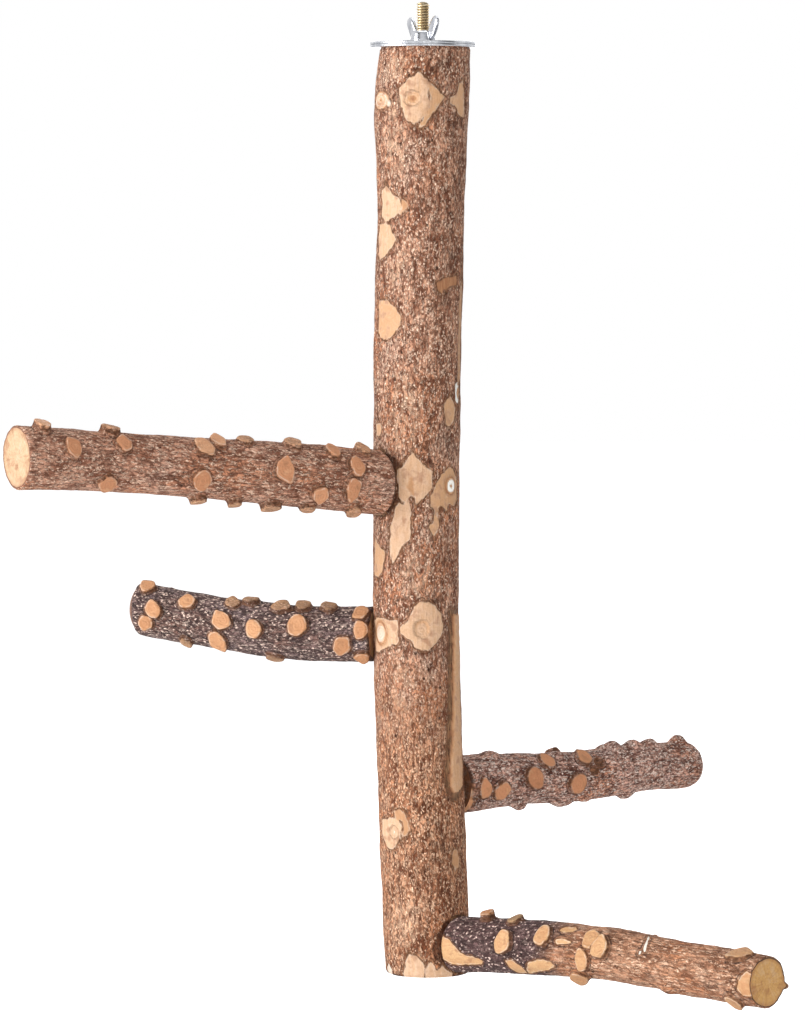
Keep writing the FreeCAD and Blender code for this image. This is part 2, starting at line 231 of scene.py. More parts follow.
@dataclass(frozen=True)
class BarkTone:
    """Colours and figure of one stretch of bark; lengths in mm."""

    dark: Colour
    mid: Colour
    pale: Colour
    fleck: float
    long: float
    crowd: float
    lines: float
    cracks: float = 1.0

    def paint(self, graph: Graph, limb: Signal) -> tuple[Signal, Signal]:
        """Lay the bark's colour and relief.

        Args:
            graph: The material.
            limb: Place on the straightened limb, in mm.

        Returns:
            Colour and height.
        """
        zone = graph.cloud(graph.stretched(limb, 0.6), 24.0)
        cloud = graph.cloud(graph.stretched(limb, 0.5), 11.0, 3.0)
        blotch = graph.cloud(graph.stretched(limb, 0.45), 3.6, 3.0, 0.6)
        streak = graph.cloud(graph.stretched(limb, 0.3 / self.long), 1.7, 3.0, 0.6)
        pit = graph.cells(graph.stretched(limb, 0.7), 6.0).ramp(0.11, 0.07)
        bend = graph.add("ShaderNodeTexNoise", {}, {"Vector": limb, "Scale": 0.6, "Detail": 2.0}, "Color")
        bent = graph.add("ShaderNodeVectorMath", {"operation": "MULTIPLY_ADD"},
                         {0: bend, 1: (2.0, 2.0, 2.0), 2: limb})
        drawn = graph.cloud(graph.stretched(bent, 0.5 / self.long), 1.5, 2.0, 0.3)
        crack = graph.math("ABSOLUTE", drawn - 0.5).ramp(0.035, 0.01)
        line = graph.cloud(graph.stretched(bent, 0.36 / self.long), 0.8, 2.0, 0.4).ramp(0.54, 0.63)
        grain = graph.stretched(bent, 1 / self.long)
        near = graph.cells(grain, self.fleck)
        chosen, paler, _ = graph.parts(graph.cells(grain, self.fleck, "Color"))
        spot = near.ramp(0.44, 0.22) * chosen.ramp(1 - self.crowd, 1.02 - self.crowd)
        base = graph.layered(self.mid, (tinted(self.mid, RUDDY), zone.ramp(0.45, 0.62)),
                             (tinted(self.mid, GREYISH), cloud.ramp(0.55, 0.7) * 0.8))
        colour = graph.layered(
            shaded(self.dark, 0.85),
            (base, (cloud * 0.3 + blotch * 0.7).ramp(0.36, 0.56)),
            (shaded(self.dark, 0.5), streak.ramp(0.46, 0.35) * 0.8 * self.cracks),
            (shaded(self.dark, 0.55), near.ramp(0.48, 0.7) * 0.7 * self.cracks),
            (self.pale, line * self.lines),
            (shaded(self.dark, 0.45), crack * 0.7 * self.cracks),
            (graph.mix(base, self.pale, paler.ramp(-0.15, 0.45)), spot),
            (shaded(self.dark, 0.15), pit * 0.8))
        return colour, streak * 0.7 + blotch * 0.6 + spot * 0.3 + line * 0.25 - crack * 0.3 - pit * 0.3


@dataclass(frozen=True)
class WoodFinish:
    """How one limb's bark, cut prickles and sawn ends look."""

    root: BarkTone
    tip: BarkTone
    orange: Colour
    tan: Colour
    end_root: Colour
    end_tip: Colour
    turn: float
    blend: float
    middle: float
    fray: float
    crisp: float
    outline: float
    brown: Colour = CUT_BROWN
    cream: Colour = CUT_CREAM

    def bark(self, name: str) -> Material:
        """Material of the barked surface, with the cut prickles and bare patches on it.

        Args:
            name: The material's name.

        Returns:
            The material.
        """
        graph = Graph.material(name)
        limb, _, _, along = graph.attribute("limb")
        _, edge, centre, tone = graph.attribute("mark")
        _, dark, pale_and_light, _ = graph.attribute("stain_and_shade")
        colour, height = self.root.paint(graph, limb)
        if self.tip is not self.root:
            tip_colour, tip_height = self.tip.paint(graph, limb)
            wander = graph.cloud(limb, 9.0) * 2 * self.blend
            share = (along + wander - self.blend).ramp(self.turn - self.blend, self.turn + self.blend)
            colour = graph.mix(colour, tip_colour, share)
            height = height + (tip_height - height) * share
        mottle = graph.cloud(graph.stretched(limb, 0.5), 2.2, 3.0)
        fibre = graph.cloud(graph.stretched(limb, 0.16), 1.1)
        fray = graph.cloud(graph.stretched(limb, 0.3), 1.5)
        smudge, fine, broken = graph.cloud(limb, 4.0), graph.cloud(limb, 0.8), graph.cloud(limb, 2.6).ramp(0.4, 0.6)
        ragged = edge + fray * 2 * self.fray - self.fray
        rings = (centre * 4.2 + smudge * 9.0).wave()
        worn = fibre.ramp(0.56, 0.38) * 0.36 + rings.ramp(0.2, 1.0) * 0.12
        # painted highlight: rim is a pale cream line just inside the edge of each cut top
        rim = ragged.ramp(0.85, 0.3) * ragged.ramp(0.05, 0.3) * broken
        bare = tone.ramp(0.99, 0.8)
        wood = graph.layered(
            shaded(self.brown, 0.22),
            (self.brown, tone.ramp(0.0, 0.12)),
            (self.orange, (tone + smudge * 0.5 - 0.25).ramp(0.06, 0.42)),
            (self.tan, (tone + smudge * 0.7 - 0.35).ramp(0.34, 0.68)),
            (self.cream, tone.ramp(0.76, 0.98)),
            (BLEACHED, tone.ramp(1.05, 1.25)),
            (self.orange, worn * bare),
            (self.brown, smudge.ramp(0.5, 0.72) * 0.6 * bare),
            (self.tan, smudge.ramp(0.46, 0.28) * 0.5 * bare * tone.ramp(0.1, 0.3)),
            (shaded(self.orange, 0.7), fine.ramp(0.5, 0.34) * 0.25 * bare),
            (self.cream, rim * 0.4 * tone.ramp(0.1, 0.4)))
        marked = ragged.ramp(-0.2, self.crisp)
        grown = marked * tone.ramp(-0.2, -0.6)
        cut, open_wood = marked - grown, 1 - grown
        wall = ragged.ramp(-1.5, -0.75) * (fray * 0.6 + 0.45) * open_wood
        # painted shade: foot is a dark ring round the base of each prickle and bare patch
        foot = ragged.ramp(-2.1, -1.35) * ragged.ramp(-0.7, -1.15)
        border = ragged.ramp(-1.0, -0.3) * (1 - broken * 0.65) * open_wood * (0.75 + self.outline * 0.5)
        # dark zones, partly stain and partly painted shade, plus the painted shadow round each perch's seat; pale
        # zones, partly paler bark and partly painted light
        shadow_and_stain = graph.math("MAXIMUM", dark.ramp(0.0, 1.0) * mottle.ramp(0.64, 0.36), dark.ramp(1.0, 1.8))
        colour = graph.layered(
            colour,
            (shaded(self.root.dark, 0.32), shadow_and_stain),
            (self.root.pale, pale_and_light * mottle.ramp(0.38, 0.66)),
            # painted shade: a dark line along the last 1.5 mm of a perch's root, where it meets the trunk; on the trunk
            # it darkens the bottom end
            (shaded(self.brown, 0.2), along.ramp(1.5, 0.5) * 0.85),
            (graph.mix(self.brown, self.orange, fibre.ramp(0.3, 0.7)), wall * 0.4),
            (shaded(self.root.dark, 0.35), foot * (broken * 0.5 + self.outline)),
            (shaded(self.brown, 0.4), border),
            (self.tan, grown * (smudge * 0.7 + 0.3)),
            (wood, cut))
        height = height * (1 - cut) + (fibre * 0.2 + rings * 0.03 + smudge * 0.3 + 0.3) * cut
        return graph.finish({"Base Color": colour, "Roughness": 0.88 - cut * 0.24, "Specular IOR Level": 0.3},
                            height, BARK_RELIEF)

    def sawn(self, name: str) -> Material:
        """Material of the sawn ends, with growth rings, rays and a bark rim.

        Args:
            name: The material's name.

        Returns:
            The material.
        """
        graph = Graph.material(name)
        limb, across, up, along = graph.attribute("limb")
        below = graph.attribute("stain_and_shade")[3]
        out = graph.distance(across, up)
        smudge = graph.cloud(graph.stretched(limb, 0.2), 6.0, 3.0)
        fine = graph.cloud(limb, 0.7)
        rings = (out * 3.1 + smudge * 5.0).wave()
        fan = graph.add("ShaderNodeCombineXYZ", {}, {0: graph.math("ARCTAN2", up, across), 1: out * 0.02,
                                                     2: along * 0.001})
        rays = graph.cloud(fan, 0.16)
        figure = ((rings * 0.5 + 0.5) * 0.1 + rays.ramp(0.52, 0.68) * 0.22 + smudge.ramp(0.48, 0.66) * 0.5
                  + fine.ramp(0.48, 0.34) * 0.25)
        wood = graph.layered(
            self.end_root,
            (self.end_tip, along.ramp(self.middle - 1, self.middle + 1)),
            (self.brown, figure),
            (self.cream, rays.ramp(0.5, 0.32) * 0.08 + smudge.ramp(0.46, 0.3) * 0.12),
            (self.brown, (below + smudge * 3.0 - 1.5).ramp(2.6, 0.8) * 0.4),
            (shaded(self.root.dark, 0.5), (below + smudge * 1.6 - 0.8).ramp(0.95, 0.55) * 0.85))
        return graph.finish({"Base Color": wood, "Roughness": 0.72, "Specular IOR Level": 0.3},
                            rings * 0.1 + rays * 0.25 + fine * 0.4, SAWN_RELIEF)


@dataclass(frozen=True)
class MetalFinish:
    """How one plated metal looks."""

    colour: Colour
    tint: Colour
    roughness: float
    turned: bool = False
    threaded: bool = False

    def material(self, name: str) -> Material:
        """Material with cloudy plating, painted shade in a thread's grooves and, on turned pieces, fine circular marks.

        Args:
            name: The material's name.

        Returns:
            The material.
        """
        graph = Graph.material(name)
        place = graph.add("ShaderNodeTexCoord", {}, {}, "Object")
        cloud = graph.cloud(place, 0.004, 3.0)
        fine = graph.cloud(place, 0.0006)
        colour = graph.mix(self.colour, self.tint, cloud.ramp(0.35, 0.7))
        scuff = graph.cloud(graph.stretched(place, 0.2), 0.0016, 2.0, 1.0).ramp(0.6, 0.72)
        roughness = cloud * 0.14 + scuff * 0.16 + (self.roughness - 0.07)
        height = fine * 0.5 + cloud * 0.5
        if self.threaded:
            # painted shade: the colour darkens down in the thread's grooves
            groove = graph.attribute("groove")[1].ramp(0.25, 0.9)
            colour = graph.mix(colour, shaded(self.colour, 0.3), groove * 0.8)
            roughness = roughness + groove * 0.3
        if self.turned:
            across, up, _ = graph.parts(place)
            circles = graph.add("ShaderNodeCombineXYZ", {}, {0: graph.distance(across, up)})
            height = height + graph.cloud(circles, 0.00035)
        return graph.finish({"Base Color": colour, "Metallic": 1.0, "Roughness": roughness}, height, PLATING_RELIEF)


ZINC = MetalFinish(srgb(206, 207, 212), srgb(176, 178, 184), roughness=0.18)
WASHER_ZINC = MetalFinish(srgb(214, 216, 220), srgb(184, 187, 194), roughness=0.24, turned=True)
YELLOW_ZINC = MetalFinish(srgb(230, 206, 164), srgb(240, 224, 194), roughness=0.26, threaded=True)
INSERT_ZINC = MetalFinish(srgb(176, 178, 182), srgb(150, 152, 158), roughness=0.42)


def added(name: str, data: ID) -> Object:
    """Put a new object into the scene.

    Args:
        name: Its name.
        data: Its mesh, light or camera.

    Returns:
        The object.
    """
    thing = bpy.data.objects.new(name, data)
    bpy.context.scene.collection.objects.link(thing)
    return thing


def dressed(name: str, mesh: Mesh, body: str, node: str) -> Object:
    """Put a finished mesh in the scene in place of a CAD node.

    Args:
        name: The piece's name.
        mesh: Its mesh, in metres, in the shared frame.
        body: The body that it rides on.
        node: The CAD node that it stands for.

    Returns:
        The piece.
    """
    piece = added(name, mesh)
    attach(piece, body)
    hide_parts(node)
    return piece


def filled(mesh: Mesh, shape: BMesh, crease: float) -> Mesh:
    """Fill a mesh with a shape, smooth but for its sharp edges.

    Args:
        mesh: The mesh.
        shape: The shape, which is freed.
        crease: Angle between faces from which an edge is sharp, in radians.

    Returns:
        The mesh.
    """
    for face in shape.faces:
        face.smooth = True
    for edge in shape.edges:
        edge.smooth = edge.calc_face_angle(0) < crease
    shape.to_mesh(mesh)
    shape.free()
    return mesh


class End(Enum):
    """One end of a limb."""

    ROOT = "root"
    TIP = "tip"


@dataclass(frozen=True)
class Spine:
    """Rings that a limb's wood runs through, from its root to its tip, in mm."""

    along: Sequence[float]
    girth: Sequence[float]
    across: Sequence[float]
    up: Sequence[float]

    @property
    def length(self) -> float:
        """Distance from the first ring to the last."""
        return self.along[-1]

    @property
    def nominal(self) -> float:
        """Mean radius."""
        return float(np.mean(self.girth)) / 2

    def at(self, along: Array) -> tuple[Array, Array, Array]:
        """Girth, and the centre's two offsets, at places along the limb."""
        return self._smooth(self.girth, along), self._smooth(self.across, along), self._smooth(self.up, along)

    def _smooth(self, values: Sequence[float], along: Array) -> Array:
        """Run a smooth curve through one measure of the rings.

        Args:
            values: The measure at each ring.
            along: Where to read the curve.

        Returns:
            The curve's values.
        """
        stops, marks = np.asarray(self.along, float), np.asarray(values, float)
        slopes = np.gradient(marks, stops)
        first = np.clip(np.searchsorted(stops, along, "right") - 1, 0, len(stops) - 2)
        step = stops[first + 1] - stops[first]
        share = np.clip((along - stops[first]) / step, 0, 1)
        rest = 1 - share
        return (rest * rest * (1 + 2 * share) * marks[first] + share * share * (3 - 2 * share) * marks[first + 1]
                + share * rest * step * (rest * slopes[first] - share * slopes[first + 1]))


def eased(values: Array, low: float, high: float) -> Array:
    """Go smoothly from 0 at low to 1 at high, which may be the smaller one."""
    share = np.clip((values - low) / (high - low), 0, 1)
    return share * share * (3 - 2 * share)


BARE_RELIEF = -0.35


@dataclass(frozen=True)
class Patch:
    """A bare place, knot or chip on the bark, in mm and degrees on the unrolled limb.

    It is a rounded oval, or lies inside corners of its own.
    """

    along: float
    angle: float
    half_across: float = 0.0
    half_along: float = 0.0
    tone: float = 0.0
    power: float = 2.0
    relief: float = BARE_RELIEF
    ragged: float = 1.1
    corners: Sequence[Pair] = ()

    @classmethod
    def drawn(cls, tone: float, corners: Sequence[Pair], relief: float = BARE_RELIEF, ragged: float = 0.7) -> "Patch":
        """Draw a patch by its corners, each with its place along the limb and its angle."""
        along, angle = np.mean(corners, axis=0).tolist()
        return cls(along, angle, tone=tone, relief=relief, ragged=ragged, corners=corners)

    def depth(self, across: Array, along: Array, radius: float) -> Array:
        """Distance in from the outline.

        Args:
            across: Distance round the limb from the patch's middle.
            along: Distance along it.
            radius: The limb's mean radius.

        Returns:
            The distance, below 0 outside.
        """
        if not self.corners:
            gauge = (np.abs(across / self.half_across) ** self.power
                     + np.abs(along / self.half_along) ** self.power) ** (1 / self.power)
            return (1 - gauge) * min(self.half_across, self.half_along)
        spots = [(math.radians(angle - self.angle) * radius, place - self.along) for place, angle in self.corners]
        best, within = np.full(len(across), np.inf), np.zeros(len(across), bool)
        for (start_x, start_y), (end_x, end_y) in zip(spots, spots[1:] + spots[:1]):
            step_x, step_y = end_x - start_x, end_y - start_y
            share = ((across - start_x) * step_x + (along - start_y) * step_y) / (step_x ** 2 + step_y ** 2)
            share = np.clip(share, 0, 1)
            best = np.minimum(best, np.hypot(across - start_x - share * step_x, along - start_y - share * step_y))
            if step_y:
                level = (start_y <= along) != (end_y <= along)
                within ^= level & (across < start_x + (along - start_y) * step_x / step_y)
        return np.where(within, best, -best)


@dataclass(frozen=True)
class StainAndShade:
    """A soft dark zone on the bark, or a pale one where its strength is below 0; in mm and degrees. Dark zones are
    partly the bark's own stains and partly painted shade on the shaded side; pale ones are partly paler bark and partly
    painted light on the lit side.
    """

    along: float
    angle: float
    half_across: float
    half_along: float
    strength: float


class Crown(Enum):
    """How a prickle ends."""

    CUT = "cut through to the wood"
    BARKED = "flat and grown over"
    DOMED = "round and grown over"


@dataclass(frozen=True)
class Knob:
    """Where a prickle stands on a perch and how large and pale its cut top is; lengths in mm."""

    share: float
    angle: float
    half: float = 3.9
    height: float = 2.6
    tone: float = 0.4
    crown: Crown = Crown.CUT


barked = partial(Knob, crown=Crown.BARKED)
domed = partial(Knob, crown=Crown.DOMED)

SIDES = (5, 7)  # fewest sides of a prickle, and one more than the most
SIDE_TURN = 0.22  # how far a side may turn, as a share of its angle
SIDE_REACH = (0.84, 1.08)  # how far out a side may lie, as a share of the half width
TOP_LEAN = 0.14  # steepest slope of a top
ROUNDNESS = 6.0  # power that rounds the corners


@dataclass(frozen=True)
class Prickle:
    """A cut-off prickle: a low many-sided stump with a flat top."""

    knob: Knob
    sides: Sequence[Pair]
    lean: Pair

    @classmethod
    def grown(cls, knob: Knob, chance: np.random.Generator) -> "Prickle":
        """Grow a prickle of its own shape at a place on a limb.

        Args:
            knob: Where it stands and how large it is.
            chance: The limb's own seeded numbers.

        Returns:
            The prickle.
        """
        count = int(chance.integers(*SIDES))
        twist = chance.uniform(0, 2 * math.pi)
        sides = [(twist + (number + chance.uniform(-SIDE_TURN, SIDE_TURN)) * 2 * math.pi / count,
                  knob.half * chance.uniform(*SIDE_REACH)) for number in range(count)]
        return cls(knob, sides, (chance.uniform(-TOP_LEAN, TOP_LEAN), chance.uniform(-TOP_LEAN, TOP_LEAN)))

    def spread(self, across: Array, along: Array) -> Array:
        """Distance from the middle as a share of the outline's own."""
        return np.sum([np.clip((across * math.cos(side) + along * math.sin(side)) / reach, 0, None) ** ROUNDNESS
                       for side, reach in self.sides], axis=0) ** (1 / ROUNDNESS)


FAR = 10.0  # distance noted where no mark is near
PLAIN_TONE = 0.5  # tone noted there
LUMP_NOISE = (15.0, 1.5, 2)  # grain, stretch and octaves
RIPPLE_NOISE = (3.4, 2.6, 3)
FRAY_NOISE = (3.6, 1.0, 2)
RIPPLE_SEED, FRAY_SEED = 31.0, 57.0
PATCH_LIP = (-0.8, 0.5)  # where a patch's step begins and ends, in from its outline
PATCH_RIPPLES = 0.25  # what a patch leaves of the bark's ripples
TONE_BLEND = 0.45  # half the width over which one mark's tone turns into another's
STAIN_FRAY = 0.4
STAIN_SOFT = (0.25, 1.0)  # shares of a stain's size between which it fades
PRICKLE_SPAN = 11.0  # no prickle reaches further
PRICKLE_FOOT = 1.5  # where a prickle's foot ends, as a share of its half width
PRICKLE_CORE = 0.02  # least share, so that nothing is divided by 0
DOME_TOP = 0.2  # where a round prickle starts to fall
DRAW_IN, DRAW_OUT = 0.4, 0.5  # shares inside and outside the outline whose grid is drawn to it
DRAW_POWER, DRAW_REST = 1.6, 0.6
TOP_BEVEL, BEVEL_START = 0.3, 0.78
SIDE_SHARE, SIDE_POWER = 0.36, 1.3  # width of a prickle's side and how it curves
GROWN_TONE = -1.0  # tone that stands for bark


class Skin:
    """A limb's unrolled surface as arrays with one entry a vertex, in mm."""

    def __init__(self, theta: Array, along: Array, radius: Array, nominal: float) -> None:
        """Start smooth bark.

        Args:
            theta: Angle round the limb, in radians.
            along: Place along it.
            radius: Radius there.
            nominal: The limb's mean radius.
        """
        self.theta, self.along, self.radius, self.nominal = theta, along, radius, nominal
        self.ground = self.smooth = radius
        self.edge, self.centre = np.full(len(theta), -FAR), np.full(len(theta), FAR)
        self.tone = np.full(len(theta), PLAIN_TONE)
        self.dark, self.pale_and_light = np.zeros(len(theta)), np.zeros(len(theta))

    def clouds(self, grain: float, stretch: float, octaves: int, seed: float) -> Array:
        """Smooth noise over the surface.

        Args:
            grain: Size of a cloud across the limb.
            stretch: How many times longer it is along the limb.
            octaves: Layers of finer noise.
            seed: Where in the noise to read.

        Returns:
            Values about 0, mostly within 1 of it.
        """
        straight = [self.nominal * np.cos(self.theta), self.nominal * np.sin(self.theta), self.along]
        spots = np.stack(straight, axis=1) / (grain, grain, grain * stretch) + seed
        return np.fromiter((noise.fractal(spot, 1.0, 2.0, octaves) for spot in spots.tolist()), float, len(spots))

    def roughen(self, lumps: float, ripples: float, seed: float) -> None:
        """Raise broad lumps and ripples along the grain to their heights."""
        self.smooth = self.radius + lumps * self.clouds(*LUMP_NOISE, seed)
        self.radius = self.smooth + ripples * self.clouds(*RIPPLE_NOISE, seed + RIPPLE_SEED)

    def offsets(self, along: float, angle: float) -> tuple[Array, Array]:
        """Distances round and along the limb from a spot, whose angle is in degrees."""
        turn = (self.theta - math.radians(angle) + math.pi) % (2 * math.pi) - math.pi
        return turn * self.nominal, self.along - along

    def lay(self, patch: Patch, raggedness: Array) -> None:
        """Lay a patch over what is there.

        Args:
            patch: The patch.
            raggedness: Noise that frays its outline.
        """
        across, along = self.offsets(patch.along, patch.angle)
        inside = patch.depth(across, along, self.nominal) + patch.ragged * raggedness
        share = eased(inside, *PATCH_LIP)
        level = self.smooth + PATCH_RIPPLES * (self.radius - self.smooth)
        self.radius = self.radius + (level - self.radius) * share
        self.radius = self.radius + patch.relief * share
        centre = np.full(len(across), FAR) if patch.corners else np.hypot(across, along)
        within = (self.edge > 0) & (inside > -TONE_BLEND)
        blend = np.where(within, eased(inside, -TONE_BLEND, TONE_BLEND), 1.0)
        self._mark(np.where(within, np.maximum(inside, self.edge), inside), centre,
                   self.tone + (patch.tone - self.tone) * blend)

    def lay_stain_and_shade(self, stain_and_shade: StainAndShade, raggedness: Array) -> None:
        """Darken a zone of the bark, partly stain and partly painted shade, or make it paler, partly paler bark and
        partly painted light.

        Args:
            stain_and_shade: The zone.
            raggedness: Noise that breaks its outline.
        """
        across, along = self.offsets(stain_and_shade.along, stain_and_shade.angle)
        gauge = np.hypot(across / stain_and_shade.half_across, along / stain_and_shade.half_along) - STAIN_FRAY * raggedness
        share = 1 - eased(gauge, *STAIN_SOFT)
        self.dark = np.maximum(self.dark, share * stain_and_shade.strength)
        self.pale_and_light = np.maximum(self.pale_and_light, -share * stain_and_shade.strength)

    def grow(self, prickle: Prickle, length: float) -> None:
        """Raise a prickle and draw the surface's grid in to its outline.

        Args:
            prickle: The prickle.
            length: The limb's length.
        """
        knob = prickle.knob
        across, along = self.offsets(knob.share * length, knob.angle)
        spread = prickle.spread(across, along)
        near = (np.hypot(across, along) < PRICKLE_SPAN) & (spread < PRICKLE_FOOT)
        if not near.any():
            return
        gauge, base = np.clip(spread[near], PRICKLE_CORE, None), self.ground[near]
        if knob.crown is Crown.DOMED:
            swell = base + knob.height * (1 - eased(gauge, DOME_TOP, PRICKLE_FOOT))
            self.radius[near] = np.maximum(self.radius[near], swell)
            return
        inner = np.clip(1 - gauge, 0, DRAW_IN) ** DRAW_POWER / DRAW_IN ** DRAW_REST
        outer = np.clip(gauge - 1, 0, DRAW_OUT) ** DRAW_POWER / DRAW_OUT ** DRAW_REST
        drawn = np.where(gauge < 1, 1 - inner - np.clip(1 - DRAW_IN - gauge, 0, 1), 1 + outer)
        across, along = across[near] * drawn / gauge, along[near] * drawn / gauge
        foot = float(np.median(base))
        top = (foot + knob.height + prickle.lean[0] * across + prickle.lean[1] * along) / np.cos(across / foot)
        top = top - TOP_BEVEL * eased(gauge, BEVEL_START, 1.0)
        rise = (1 - np.clip((gauge - 1) / SIDE_SHARE, 0, 1)) ** SIDE_POWER
        self.radius[near] = np.maximum(self.radius[near], base + np.maximum(top - base, 0) * rise)
        self.theta[near] = math.radians(knob.angle) + across / self.nominal
        self.along[near] = knob.share * length + along
        inside, centre = np.full(len(self.theta), -FAR), np.full(len(self.theta), FAR)
        inside[near] = (1 - drawn) * float(np.mean([reach for _, reach in prickle.sides]))
        centre[near] = np.hypot(across, along)
        self._mark(inside, centre, knob.tone if knob.crown is Crown.CUT else GROWN_TONE)

    def _mark(self, inside: Array, centre: Array, tone: Array | float) -> None:
        """Note where a mark lies.

        Args:
            inside: Distance in from its edge.
            centre: Distance from its middle.
            tone: Its tone.
        """
        over = (inside > self.edge) & (self.edge < 0) | (inside > 0)
        self.edge = np.where(over, inside, self.edge)
        self.centre = np.where(over, centre, self.centre)
        self.tone = np.where(over, tone, self.tone)


ROD_BORE = 3.225  # radius of the holes that take a threaded rod


@dataclass(frozen=True)
class Bore:
    """A round hole into one end of a limb, in mm."""

    end: End
    depth: float
    radius: float = ROD_BORE


WALL_SHARE = 0.999  # share of the radius from which a vertex belongs to the barked wall
SAWN_SHARE, BORE_SHARE = 0.995, 0.9  # shares within which a flat face, and any face, is sawn wood
FLAT = 0.5  # upright part of the normal of a flat end
WOOD_CREASE = 1.0
CAP_RING, FEWEST_RINGS, CAP_CORE = 1.2, 8, 0.06  # rings of a sawn end and what stays inside them
ROOT_BEVEL, ROOT_SOFT = 0.8, 1.5
TIP_BEVEL = 0.8
SLANT_FROM = 0.8  # share of the length from which the wood follows a slanting tip


